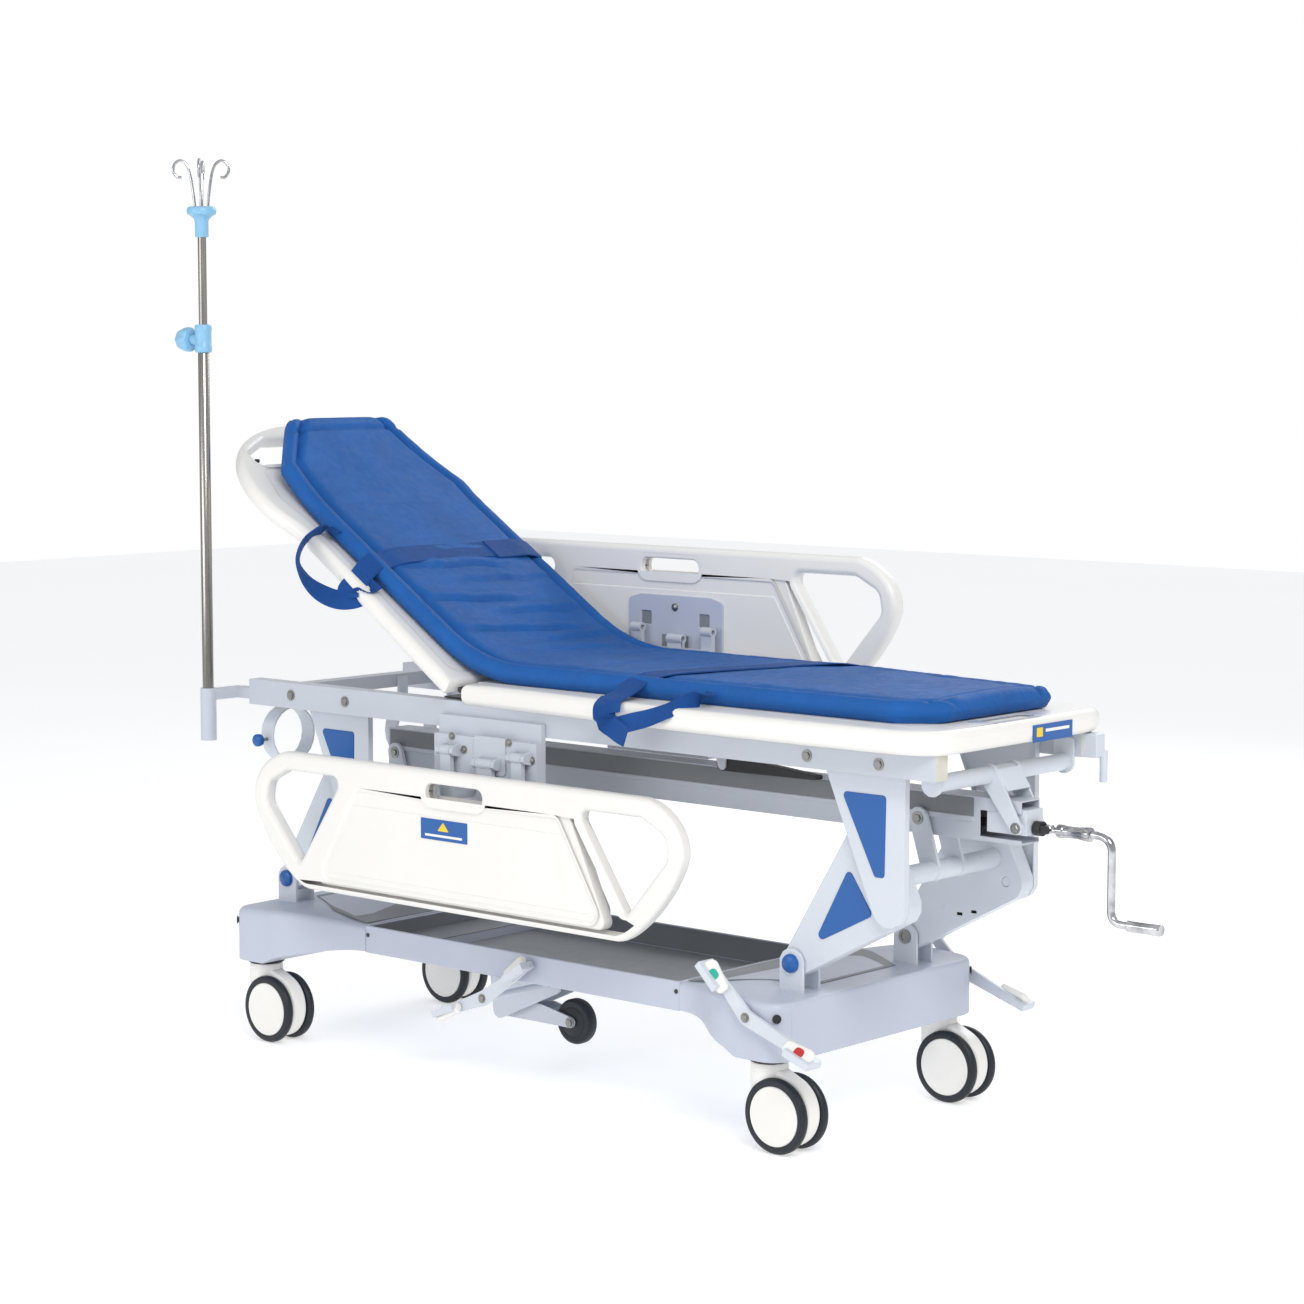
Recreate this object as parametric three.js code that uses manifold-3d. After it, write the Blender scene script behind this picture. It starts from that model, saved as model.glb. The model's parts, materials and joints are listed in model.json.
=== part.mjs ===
// Hospital stretcher trolley: crank-raised parallelogram lift, hinged backrest, folding side rails.
// Millimetres, +Z up, floor at z = 0. X runs from the head end (-) to the foot end (+).
// "right" and "left" are the sides of a patient who lies face up, so right is -Y.
import * as THREE from 'three';
import { mergeVertices } from 'three/addons/utils/BufferGeometryUtils.js';
import Module from 'manifold-3d';

const wasm = await Module();
wasm.setup();

// ---- Driving dimensions -------------------------------------------------------------------

const CENTRE = { x: 241.5, y: 0 };           // middle of the whole object's box, moved to the origin
const FIT_GAP = 0.3;                         // gap between pieces that touch
const SIDES = { right: -1, left: 1 };
const ENDS = { foot: 1, head: -1 };

const WHEEL = { r: 75, width: 21, bore: 8.6 };
const CASTER = { x: 736, y: 278, trail: 43, top: 176, collarR: 37, gap: 42, drumR: 71 };
const BASE = { bottom: 181, top: 303, halfWidth: 330, jointX: 460, jointHalf: 230, wall: 6 };
const CHANNEL = { bottom: 205, top: 245, halfX: 25, halfY: 306 };
const TRAY = { bottom: 222, top: 283, wall: 6 };

const LIFT_LEAN = 30;                        // lean of the lower arms above the horizontal, degrees
const LIFT_ARM = 280;
const ARM_FOOT = { x: 736, z: 355, r: 30 };  // pivot of the foot-end arm on the base
const ARM_APEX = { reach: 338, angle: 58, r: 34 };
const ARM_TIP_R = 40;
const ARM_Y = { inner: 165, outer: 205 };
const END_PITCH = 1472;                      // distance between the foot-end and head-end arms
const PIN_R = 10;
const PIN_PLAY = 0.6;

const RAIL = { x0: -806, x1: 1116, y0: 222, y1: 258, z0: 752, z1: 809, wall: 3 };
const CROSSBARS = [-700, -215, 330, 700];
const CROSSBAR_Z = [772, 802];
const BEAM = { x0: -590, x1: 1150, half: 31, z0: 610, z1: 695, wall: 3 };
const SCREW = { z: 642, r: 9, x0: 895, x1: 1180 };
const HANGER = { x: 1144, z: 644, tubeX: 1078, tubeZ: 741, tubeR: 17 };
const NUT = { x0: 938, x1: 976, half: 26, z0: 628, z1: 656 };

const DECK = { x0: -120, x1: 1140, z0: 795, z1: 848, wall: 8 };
const HINGE = { x: -128, z: 842 };
const BACKREST_ANGLE = 33;                   // rest angle of the backrest above the deck
const BOARD = { length: 976, top: 5, bottom: -32 };
const MATTRESS = { thick: 44, right: 226, left: 284, gap: 0.5, footX: 1072, headX: -872, lift: 62 };

const SIDE_RAIL = { x: -52, half: 630, y: 342, thick: 38, top: 182, bottom: -115 };
const SWING = { y: 302, z: 710, arm: 220, barrelR: 11, thick: 12 };
const STAY_DROP = 20;
const RAIL_ARMS = [-128, 80];

const IV = { x: -863, y: -330, lowerR: 12.5, upperR: 9.5, clampZ: 1576, hubZ: 1842, topZ: 1970 };

// ---- Helpers ------------------------------------------------------------------------------

const radians = (degrees) => degrees * Math.PI / 180;

function signedVolume(positions, triangles) {
  const a = new THREE.Vector3();
  const b = new THREE.Vector3();
  const c = new THREE.Vector3();
  let sum = 0;
  for (let i = 0; i < triangles.length; i += 3) {
    a.fromArray(positions, 3 * triangles[i]);
    b.fromArray(positions, 3 * triangles[i + 1]);
    c.fromArray(positions, 3 * triangles[i + 2]);
    sum += a.dot(b.cross(c));
  }
  return sum;
}

// Turns a closed three.js geometry into a manifold solid.
function solid(geometry) {
  geometry.deleteAttribute('normal');
  geometry.deleteAttribute('uv');
  const merged = mergeVertices(geometry, 1e-3);
  const vertProperties = new Float32Array(merged.attributes.position.array);
  const index = Array.from(merged.index.array);
  const kept = [];
  for (let i = 0; i < index.length; i += 3) {
    const [a, b, c] = index.slice(i, i + 3);
    if (a !== b && b !== c && c !== a) {
      kept.push(a, b, c);
    }
  }
  if (signedVolume(vertProperties, kept) < 0) {
    kept.reverse();
  }
  const triVerts = new Uint32Array(kept);
  return new wasm.Manifold(new wasm.Mesh({ numProp: 3, vertProperties, triVerts }));
}

function toGeometry(body) {
  const mesh = body.getMesh();
  const geometry = new THREE.BufferGeometry();
  geometry.setAttribute('position', new THREE.BufferAttribute(mesh.vertProperties, 3));
  geometry.setIndex(new THREE.BufferAttribute(mesh.triVerts, 1));
  geometry.computeVertexNormals();
  return geometry;
}

const join = (first, ...rest) => rest.reduce((sum, next) => sum.add(next), first);
const cut = (first, ...rest) => rest.reduce((sum, next) => sum.subtract(next), first);

function box(x0, x1, y0, y1, z0, z1) {
  const geometry = new THREE.BoxGeometry(x1 - x0, y1 - y0, z1 - z0);
  geometry.translate((x0 + x1) / 2, (y0 + y1) / 2, (z0 + z1) / 2);
  return solid(geometry);
}

// A box given on the +Y side, moved to either side of the trolley.
function sideBox(side, x0, x1, y0, y1, z0, z1) {
  return side > 0 ? box(x0, x1, y0, y1, z0, z1) : box(x0, x1, -y1, -y0, z0, z1);
}

function rod(radius, from, to, segments = 12, radiusEnd = radius) {
  const start = new THREE.Vector3(...from);
  const end = new THREE.Vector3(...to);
  const length = start.distanceTo(end);
  const geometry = new THREE.CylinderGeometry(radiusEnd, radius, length, segments);
  const turn = new THREE.Quaternion().setFromUnitVectors(
    new THREE.Vector3(0, 1, 0), end.clone().sub(start).normalize());
  geometry.applyQuaternion(turn);
  geometry.translate(...start.add(end).multiplyScalar(0.5));
  return solid(geometry);
}

const rodY = (radius, x, z, y0, y1, segments) => rod(radius, [x, y0, z], [x, y1, z], segments);

function extrude(shape, depth) {
  return new THREE.ExtrudeGeometry(shape, { depth, bevelEnabled: false, curveSegments: 5 });
}

const asShape = (points) => new THREE.Shape(points.map(([a, b]) => new THREE.Vector2(a, b)));

// Plates: an outline in XY, XZ or YZ, given thickness along the third axis.
function plateXY(shape, z0, z1) {
  return solid(extrude(shape, z1 - z0).translate(0, 0, z0));
}

function plateXZ(shape, y0, y1) {
  return solid(extrude(shape, y1 - y0).rotateX(Math.PI / 2).translate(0, y1, 0));
}

function plateYZ(shape, x0, x1) {
  const turn = new THREE.Matrix4().makeBasis(
    new THREE.Vector3(0, 1, 0), new THREE.Vector3(0, 0, 1), new THREE.Vector3(1, 0, 0));
  return solid(extrude(shape, x1 - x0).applyMatrix4(turn).translate(x0, 0, 0));
}

// Mirror of a solid across the plane that is square to one axis ('x' or 'y').
function mirrored(body, axis) {
  return body.mirror(axis === 'x' ? [1, 0, 0] : [0, 1, 0]);
}

const onSide = (body, side) => (side < 0 ? mirrored(body, 'y') : body);

// Convex outline around circles [a, b, radius]: a rounded plate.
function roundedHull(circles, steps = 12) {
  const points = [];
  for (const [a, b, r] of circles) {
    const count = r < 12 ? 8 : steps;
    for (let i = 0; i < count; i += 1) {
      const angle = 2 * Math.PI * (i + 0.5) / count;
      points.push([a + r * Math.cos(angle), b + r * Math.sin(angle)]);
    }
  }
  points.sort((p, q) => p[0] - q[0] || p[1] - q[1]);
  const turnsLeft = (o, p, q) => (p[0] - o[0]) * (q[1] - o[1]) - (p[1] - o[1]) * (q[0] - o[0]) > 1e-6;
  const chain = (list) => {
    const kept = [];
    for (const point of list) {
      while (kept.length > 1 && !turnsLeft(kept[kept.length - 2], kept[kept.length - 1], point)) {
        kept.pop();
      }
      kept.push(point);
    }
    return kept.slice(0, -1);
  };
  return asShape([...chain(points), ...chain(points.reverse())]);
}

// A ring or disc turned about the Y axis from a closed profile of [radius, y].
function turnedY(profile, segments = 24) {
  const points = profile.map(([r, y]) => new THREE.Vector2(r, y));
  return solid(new THREE.LatheGeometry(points, segments));
}

function tubeAlong(points, radius, segments, sides = 10) {
  const path = new THREE.CatmullRomCurve3(points.map((p) => new THREE.Vector3(...p)), false, 'centripetal');
  const ring = new THREE.Shape();
  for (let i = 0; i < sides; i += 1) {
    const angle = 2 * Math.PI * i / sides;
    const corner = [radius * Math.cos(angle), radius * Math.sin(angle)];
    if (i === 0) {
      ring.moveTo(...corner);
    } else {
      ring.lineTo(...corner);
    }
  }
  ring.closePath();
  const options = { steps: segments, extrudePath: path, bevelEnabled: false };
  return solid(new THREE.ExtrudeGeometry(ring, options));
}

// ---- Materials ----------------------------------------------------------------------------

function paint(color, roughness, metalness = 0) {
  return new THREE.MeshStandardMaterial({ color, roughness, metalness });
}

const MATERIALS = {
  whitePlastic: paint(0xf1efe9, 0.4),
  frameSteel: paint(0xc9cedb, 0.4, 0.2),
  whiteSteel: paint(0xdfe3ea, 0.38, 0.2),
  trayPlastic: paint(0xb4bac6, 0.5),
  steel: paint(0xb9bcc0, 0.3, 0.9),
  blackPlastic: paint(0x15161a, 0.5),
  wheel: paint(0x23272b, 0.6),
  blueVinyl: paint(0x2a66b4, 0.55),
  lightBlue: paint(0x7ab4dc, 0.4),
};

const trolley = new THREE.Group();

function addNode(name, body, material) {
  const mesh = new THREE.Mesh(toGeometry(body), material);
  mesh.name = name;
  trolley.add(mesh);
}

// ---- Lift geometry ------------------------------------------------------------------------

function polar(length, degrees) {
  return [length * Math.cos(radians(degrees)), length * Math.sin(radians(degrees))];
}

const [TIP_DX, TIP_DZ] = polar(LIFT_ARM, LIFT_LEAN);
const [APEX_DX, APEX_DZ] = polar(ARM_APEX.reach, ARM_APEX.angle);
const TUBE_DX = 211;                         // weld place of the arms' cross tube, from the base pivot
const TUBE_DZ = 185;
const armPivotX = (end) => (end > 0 ? ARM_FOOT.x : ARM_FOOT.x - END_PITCH);

// ---- Base ---------------------------------------------------------------------------------

const BRAKE = { x: 729, z: 267, shaftR: 8 };
const FIFTH = { pivotX: -232, pivotZ: 95, axleX: -36, axleZ: 92, wheelR: 50, wheelHalf: 15 };
const STEER = { x: -81, z: 175, shaftR: 7, y: 246 };
const POST_CHEEKS = [[157, 163], [207.3, 213.3]];
const MEMBER = { y0: 42, y1: 82, z0: 186, z1: 218 };

function baseFrame() {
  let frame = null;
  const holes = [];
  for (const end of Object.values(ENDS)) {
    const x = end * CASTER.x;
    const channel = cut(
      box(x - CHANNEL.halfX, x + CHANNEL.halfX, -CHANNEL.halfY, CHANNEL.halfY, CHANNEL.bottom, CHANNEL.top),
      box(x - CHANNEL.halfX + 4, x + CHANNEL.halfX - 4, -CHANNEL.halfY - 1, CHANNEL.halfY + 1,
        CHANNEL.bottom + 4, CHANNEL.top + 1));
    frame = frame ? frame.add(channel) : channel;
    for (const side of Object.values(SIDES)) {
      const pivot = armPivotX(end);
      for (const [y0, y1] of POST_CHEEKS) {
        const cheek = roundedHull([[pivot, ARM_FOOT.z, ARM_FOOT.r], [pivot - 25, CHANNEL.bottom + 8, 5],
          [pivot + 25, CHANNEL.bottom + 8, 5]]);
        frame = frame.add(onSide(plateXZ(cheek, y0, y1), side));
      }
      frame = frame.add(onSide(rodY(PIN_R, pivot, ARM_FOOT.z, 158, 212), side));
      const y = side * CASTER.y;
      frame = frame.add(rod(16, [x, y, BASE.bottom + 1], [x, y, CHANNEL.bottom + 2]));
      holes.push(rod(WHEEL.bore, [x, y, BASE.bottom - 2], [x, y, CHANNEL.bottom + 9]));
    }
  }
  for (const side of Object.values(SIDES)) {
    frame = frame.add(sideBox(side, -CASTER.x, CASTER.x, MEMBER.y0, MEMBER.y1, MEMBER.z0, MEMBER.z1));
    holes.push(sideBox(side, -CASTER.x - 1, CASTER.x + 1, MEMBER.y0 + 3, MEMBER.y1 - 3,
      MEMBER.z0 + 3, MEMBER.z1 - 3));
    const cheek = roundedHull([
      [FIFTH.pivotX, FIFTH.pivotZ, 18], [FIFTH.pivotX - 20, 200, 10], [-60, 200, 10], [-60, 165, 10]]);
    frame = frame.add(onSide(plateXZ(cheek, 35, MEMBER.y0 + 1), side));
  }
  frame = frame.add(box(-290, 60, -MEMBER.y0 - 1, MEMBER.y0 + 1, 206, MEMBER.z1));
  frame = frame.add(rodY(7, FIFTH.pivotX, FIFTH.pivotZ, -36, 36));
  for (const x of [-CASTER.x, CASTER.x]) {
    for (const y of [-60, 60]) {
      frame = frame.add(box(
        x - CHANNEL.halfX, x + CHANNEL.halfX, y - 20, y + 20, MEMBER.z0, CHANNEL.bottom + 2));
    }
  }
  holes.push(rodY(STEER.shaftR + 1, STEER.x, STEER.z, -60, 60));
  holes.push(rodY(BRAKE.shaftR + 1.4, BRAKE.x, BRAKE.z, -230, 230));
  return cut(frame, ...holes);
}

// Plan outline of an end moulding, drawn for the foot end and pulled in by the wall thickness.
function coverPlan(inset) {
  const half = BASE.halfWidth - inset;
  const joint = BASE.jointHalf - inset;
  const end = 792 - inset;
  const corner = 46 - inset / 2;
  const plan = new THREE.Shape();
  plan.moveTo(BASE.jointX + FIT_GAP, -joint);
  plan.bezierCurveTo(560, -joint, 590, -half, 680, -half);
  plan.lineTo(end - corner, -half);
  plan.quadraticCurveTo(end, -half, end, -half + corner);
  plan.quadraticCurveTo(end + 14, 0, end, half - corner);
  plan.quadraticCurveTo(end, half, end - corner, half);
  plan.lineTo(680, half);
  plan.bezierCurveTo(590, half, 560, joint, BASE.jointX + FIT_GAP, joint);
  plan.closePath();
  return plan;
}

// Side profile of the end moulding: an S-shaped top and an arched lower edge.
function coverProfile(inset) {
  const profile = new THREE.Shape();
  profile.moveTo(BASE.jointX, 224);
  profile.quadraticCurveTo(570, 224, 660, 196);
  profile.lineTo(690, BASE.bottom);
  profile.lineTo(830, BASE.bottom);
  profile.lineTo(830, BASE.top - 9 - inset);
  profile.bezierCurveTo(760, BASE.top - inset, 690, BASE.top + 2 - inset, 640, BASE.top - inset);
  profile.bezierCurveTo(570, BASE.top - inset, 540, TRAY.top - inset, BASE.jointX, TRAY.top - inset);
  profile.closePath();
  return profile;
}

function baseCover() {
  const outer = plateXY(coverPlan(0), 170, 320).intersect(plateXZ(coverProfile(0), -400, 400));
  const innerTop = plateXZ(coverProfile(BASE.wall), -400, 400);
  const hollow = plateXY(coverPlan(BASE.wall), 150, 320)
    .intersect(join(innerTop, box(BASE.jointX - 5, 830, -400, 400, 150, 230)))
    .add(box(BASE.jointX - 5, BASE.jointX + 10, -218, 218, 150, TRAY.top - BASE.wall));
  const slots = [];
  for (const side of Object.values(SIDES)) {
    slots.push(sideBox(side, ARM_FOOT.x - 33, ARM_FOOT.x + 33, 154, 216, 260, 330));
  }
  const shaftHole = rodY(BRAKE.shaftR + 1.4, BRAKE.x, BRAKE.z, -340, 340);
  return cut(outer, hollow, shaftHole, ...slots);
}

function storageTray() {
  const { bottom, top, wall } = TRAY;
  const half = BASE.jointHalf;
  const length = BASE.jointX;
  const shell = cut(box(-length, length, -half, half, bottom, top),
    box(-length + wall, length - wall, -half + wall, half - wall, bottom + wall, top + 1));
  const step = (end) => {
    const x = end * (length - 60);
    return box(x - 54, x + 54, -half + 1, half - 1, bottom + 1, bottom + 26);
  };
  return join(shell, step(1), step(-1));
}

const cover = baseCover();
addNode('base_frame', baseFrame(), MATERIALS.frameSteel);
addNode('base_cover_foot', cover, MATERIALS.whiteSteel);
addNode('base_cover_head', mirrored(cover, 'x'), MATERIALS.whiteSteel);
addNode('storage_tray', storageTray(), MATERIALS.trayPlastic);

// ---- Casters ------------------------------------------------------------------------------

// Built around the swivel axis at x = 0, y = 0, with the wheels trailing toward +X: a drum between
// the two wheels, joined to a round collar under the base.
function casterHousing() {
  const half = CASTER.gap / 2 - 1;
  const drum = plateXZ(roundedHull([[-22, CASTER.top - 26, 14], [24, CASTER.top - 26, 14],
    [CASTER.trail, WHEEL.r + 5, CASTER.drumR], [-14, 118, 14]], 24), -half, half);
  const wheelRoom = [[-60, -half], [half, 60]].map(([y0, y1]) => rodY(
    WHEEL.r + 3, CASTER.trail, WHEEL.r, y0, y1, 28));
  const collar = cut(rod(CASTER.collarR, [0, 0, 112], [0, 0, CASTER.top - 4], 18), ...wheelRoom);
  const lid = rod(CASTER.collarR - 4, [0, 0, CASTER.top - 5], [0, 0, CASTER.top], 18);
  const stem = rod(8, [0, 0, CASTER.top - 4], [0, 0, CHANNEL.bottom + 3], 10);
  const axleReach = CASTER.gap / 2 + WHEEL.width - 3;
  const axle = rodY(8, CASTER.trail, WHEEL.r, -axleReach, axleReach);
  return join(collar, lid, stem, drum, axle);
}

// Built around the axle at the origin: the inner face is at y = 0 and the outer face at +width.
function casterWheel() {
  const { r, width, bore } = WHEEL;
  const tread = 6;
  return turnedY([[bore, 0], [r - tread, 0], [r, tread], [r, width - tread], [r - tread, width],
    [bore, width], [bore, 0]]);
}

const housing = casterHousing();
const wheelOut = casterWheel().translate([CASTER.trail, CASTER.gap / 2, WHEEL.r]);
for (const [endName, end] of Object.entries(ENDS)) {
  for (const [sideName, side] of Object.entries(SIDES)) {
    const place = [end * CASTER.x, side * CASTER.y, 0];
    const corner = `${endName}_${sideName}`;
    addNode(`caster_housing_${corner}`, housing.translate(place), MATERIALS.whitePlastic);
    addNode(`caster_wheel_outer_${corner}`, onSide(wheelOut, side).translate(place), MATERIALS.wheel);
    addNode(`caster_wheel_inner_${corner}`, onSide(wheelOut, -side).translate(place), MATERIALS.wheel);
  }
}

// ---- Fifth wheel and pedals ---------------------------------------------------------------

function fifthWheelArm() {
  const { pivotX, pivotZ, axleX, axleZ } = FIFTH;
  const plate = roundedHull([[pivotX, pivotZ, 16], [axleX - 90, pivotZ + 12, 14], [axleX, axleZ, 12]]);
  const cheeks = [onSide(plateXZ(plate, 18, 23), 1), onSide(plateXZ(plate, 18, 23), -1)];
  const hub = rodY(16, pivotX, pivotZ, -23, 23);
  const bridge = box(pivotX + 10, axleX - 62, -19, 19, pivotZ - 8, pivotZ + 14);
  const axle = rodY(6, axleX, axleZ, -22, 22);
  return cut(join(hub, bridge, axle, ...cheeks), rodY(7 + PIN_PLAY, pivotX, pivotZ, -40, 40));
}

function fifthWheel() {
  const { axleX, axleZ, wheelR, wheelHalf } = FIFTH;
  const bore = 6 + PIN_PLAY;
  return turnedY([
    [bore, -wheelHalf], [34, -wheelHalf + 3], [wheelR - 4, -wheelHalf], [wheelR, -wheelHalf + 5],
    [wheelR, wheelHalf - 5], [wheelR - 4, wheelHalf], [34, wheelHalf - 3], [bore, wheelHalf],
    [bore, -wheelHalf]]).translate([axleX, 0, axleZ]);
}

// A foot lever: two tapered arms from the shaft to a pad at each end.
function footLever(pivot, padA, padB, plateY, padY) {
  let lever = plateXZ(roundedHull([[...pivot, 16], [...padA, 10]]), ...plateY)
    .add(plateXZ(roundedHull([[...pivot, 16], [...padB, 10]]), ...plateY));
  for (const [x, z] of [padA, padB]) {
    const lean = Math.atan2(z - pivot[1], x - pivot[0]);
    const pad = new THREE.BoxGeometry(64, padY[1] - padY[0], 15);
    pad.rotateY(-lean).translate(x, (padY[0] + padY[1]) / 2, z);
    lever = lever.add(solid(pad));
  }
  return lever;
}

const brakeLever = footLever([BRAKE.x, BRAKE.z], [654, 342], [877, 212], [337, 345], [333, 376]);
const steerLever = footLever([STEER.x, STEER.z], [-176, 138], [34, 250], [241, 248], [239, 276]);
addNode('fifth_wheel_arm', fifthWheelArm(), MATERIALS.frameSteel);
addNode('fifth_wheel', fifthWheel(), MATERIALS.wheel);
const steerShaft = rodY(STEER.shaftR, STEER.x, STEER.z, -245, 90);
const brakeShaft = rodY(BRAKE.shaftR, BRAKE.x, BRAKE.z, -340, 336);
addNode('steering_pedal', join(onSide(steerLever, -1), steerShaft), MATERIALS.whiteSteel);
addNode('brake_pedal_right', join(onSide(brakeLever, -1), brakeShaft), MATERIALS.whiteSteel);
addNode('brake_pedal_left', brakeLever, MATERIALS.whiteSteel);

// ---- Lift arms, tie beam ------------------------------------------------------------------

const LUG = { y0: 36, y1: 44, r: 22 };
const ARM_TUBE_R = 20;

// One boxed side plate of a lift arm, for the foot end on the left side.
function liftArmPlate() {
  const wall = 4;
  const { x, z, r } = ARM_FOOT;
  const outline = (inset) => roundedHull([[x, z, r - inset], [x + TIP_DX, z + TIP_DZ, ARM_TIP_R - inset],
    [x + APEX_DX, z + APEX_DZ, ARM_APEX.r - inset]]);
  const pivots = [[x, z], [x + TIP_DX, z + TIP_DZ], [x + APEX_DX, z + APEX_DZ]];
  const slots = [[x + 130, z + 62], [x + 165, z + 70]].map(([a, b]) => box(
    a - 7, a + 7, ARM_Y.inner - 1, ARM_Y.inner + wall + 1, b - 3, b + 3));
  const shell = cut(plateXZ(outline(0), ARM_Y.inner, ARM_Y.outer),
    plateXZ(outline(wall), ARM_Y.inner + wall, ARM_Y.outer - wall), ...slots);
  const bosses = pivots.map(([a, b]) => rodY(18, a, b, ARM_Y.inner + 1, ARM_Y.outer - 1));
  const bores = pivots.slice(0, 2).map(([a, b]) => rodY(
    PIN_R + PIN_PLAY, a, b, ARM_Y.inner - 1, ARM_Y.outer + 1));
  return cut(join(shell, ...bosses), ...bores);
}

// The cross tube between the two plates, with the lugs that carry the tie beam's pins.
function liftArmTube() {
  const { x, z } = ARM_FOOT;
  const reach = ARM_Y.inner - FIT_GAP;
  let tube = rodY(ARM_TUBE_R, x + TUBE_DX, z + TUBE_DZ, -reach, reach, 16);
  const lug = plateXZ(roundedHull([[x + TUBE_DX, z + TUBE_DZ, LUG.r], [x + APEX_DX, z + APEX_DZ, LUG.r]]),
    LUG.y0, LUG.y1);
  const pin = rodY(8, x + APEX_DX, z + APEX_DZ, BEAM.half - 5, LUG.y0 + 2, 16);
  for (const side of Object.values(SIDES)) {
    tube = join(tube, onSide(lug, side), onSide(pin, side));
  }
  return tube;
}

function tieBeam() {
  const { x0, x1, half, z0, z1, wall } = BEAM;
  const shell = cut(
    box(x0, x1, -half, half, z0, z1),
    box(x0 - 1, x1 + 1, -half + wall, half - wall, z0 + wall, z1 - wall));
  const apexZ = ARM_FOOT.z + APEX_DZ;
  const bores = Object.values(ENDS)
    .map((end) => rodY(8.8, armPivotX(end) + APEX_DX, apexZ, -half - 1, half + 1, 16));
  const fork = box(HANGER.x - 90, x1 + 1, -half - 1, half + 1, z0 + 9, z0 + 60);
  let beam = cut(shell, ...bores, fork);
  for (const [rib0, rib1] of [[NUT.x0 - 10, NUT.x0 - 4], [NUT.x1 + 4, NUT.x1 + 10]]) {
    for (const side of Object.values(SIDES)) {
      beam = beam.add(sideBox(side, rib0, rib1, 13, half - 1, z0 + 1, z1 - 1));
    }
  }
  return beam;
}

const armPlate = liftArmPlate();
const armTube = liftArmTube();
for (const [endName, end] of Object.entries(ENDS)) {
  const shift = [armPivotX(end) - ARM_FOOT.x, 0, 0];
  for (const [sideName, side] of Object.entries(SIDES)) {
    addNode(`${endName}_arm_${sideName}`, onSide(armPlate, side).translate(shift), MATERIALS.whiteSteel);
  }
  addNode(`${endName}_arm_tube`, armTube.translate(shift), MATERIALS.whiteSteel);
}
addNode('tie_beam', tieBeam(), MATERIALS.frameSteel);

// ---- Top frame ----------------------------------------------------------------------------

const LEG_Y = { inner: 207.4, outer: RAIL.y0 - FIT_GAP };
const LEVER_PIVOT = { x: 432, y: -50, z: 704 };

function topFrame() {
  const { x0, x1, y0, y1, z0, z1, wall } = RAIL;
  let frame = null;
  for (const side of Object.values(SIDES)) {
    const tube = cut(sideBox(side, x0, x1, y0, y1, z0, z1),
      sideBox(side, x0 - 1, x1 + 1, y0 + wall, y1 - wall, z0 + wall, z1 - wall));
    frame = frame ? frame.add(tube) : tube;
  }
  for (const x of CROSSBARS) {
    frame = frame.add(cut(
      box(x - 20, x + 20, -y0 - 1, y0 + 1, CROSSBAR_Z[0], CROSSBAR_Z[1]),
      box(x - 17, x + 17, -y0 + 4, y0 - 4, CROSSBAR_Z[0] - 1, CROSSBAR_Z[1] - 3)));
  }
  const { x: leverX, y: leverY, z: leverZ } = LEVER_PIVOT;
  const lugPlate = roundedHull([[leverX, leverZ, 10], [leverX - 40, 796, 4], [leverX + 8, 796, 4]]);
  const leverLug = join(
    box(330, leverX + 12, leverY - 16, leverY + 16, 796, 800),
    ...[-16, 12].map((dy) => plateXZ(lugPlate, leverY + dy, leverY + dy + 4)),
    rodY(4, leverX, leverZ, leverY - 14, leverY + 14));
  const socket = join(
    rod(18, [IV.x, IV.y, 672], [IV.x, IV.y, 790], 24),
    box(IV.x - 14, IV.x + 14, IV.y + 5, -230, 763, 787),
    box(IV.x, x0 + 30, -256, -224, 763, 787));
  const socketBore = rod(IV.lowerR + 0.8, [IV.x, IV.y, 684], [IV.x, IV.y, 800], 24);
  return cut(join(frame, leverLug, socket), socketBore);
}

// Upper leg of the foot end on the left: a shallow channel, open toward the middle.
function upperLeg() {
  const tip = [ARM_FOOT.x + TIP_DX, ARM_FOOT.z + TIP_DZ];
  const outline = (inset) => roundedHull([[...tip, ARM_TIP_R - inset], [806 + 3, 797, 3 - inset / 2],
    [1015, 797, 3 - inset / 2], [1009 - inset / 2, 560, 9 - inset / 2]]);
  const channel = cut(
    plateXZ(outline(0), LEG_Y.inner, LEG_Y.outer),
    plateXZ(outline(4), LEG_Y.inner - 1, LEG_Y.outer - 4));
  const boss = rodY(17, ...tip, LEG_Y.inner, LEG_Y.outer - 1);
  const pin = rodY(PIN_R, ...tip, ARM_Y.inner + 2, LEG_Y.outer - 2);
  return join(channel, boss, pin);
}

function crankHanger() {
  const { x, z, tubeX, tubeZ, tubeR } = HANGER;
  const reach = LEG_Y.outer - 1;
  const dropPlate = plateXZ(roundedHull([[tubeX, tubeZ, 24], [tubeX - 18, 784, 6], [tubeX + 18, 784, 6]]),
    LEG_Y.outer - 6, LEG_Y.outer);
  const arm = plateXZ(roundedHull([[tubeX + 2, tubeZ, 22], [x, z, 13]]), 35, 41);
  let hanger = rodY(tubeR, tubeX, tubeZ, -reach, reach, 16);
  for (const side of Object.values(SIDES)) {
    hanger = join(hanger, onSide(dropPlate, side), onSide(arm, side));
  }
  const block = join(box(1068, 1160, -27, 27, 629, 678), rodY(9, x, z, -36, 36));
  const coverPlate = new THREE.BoxGeometry(48, 72, 4);
  coverPlate.rotateY(radians(56)).translate(1110, 0, 733);
  const bore = rod(SCREW.r + 1, [1040, 0, SCREW.z], [1170, 0, SCREW.z]);
  return cut(join(hanger, block, solid(coverPlate)), bore);
}

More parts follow.
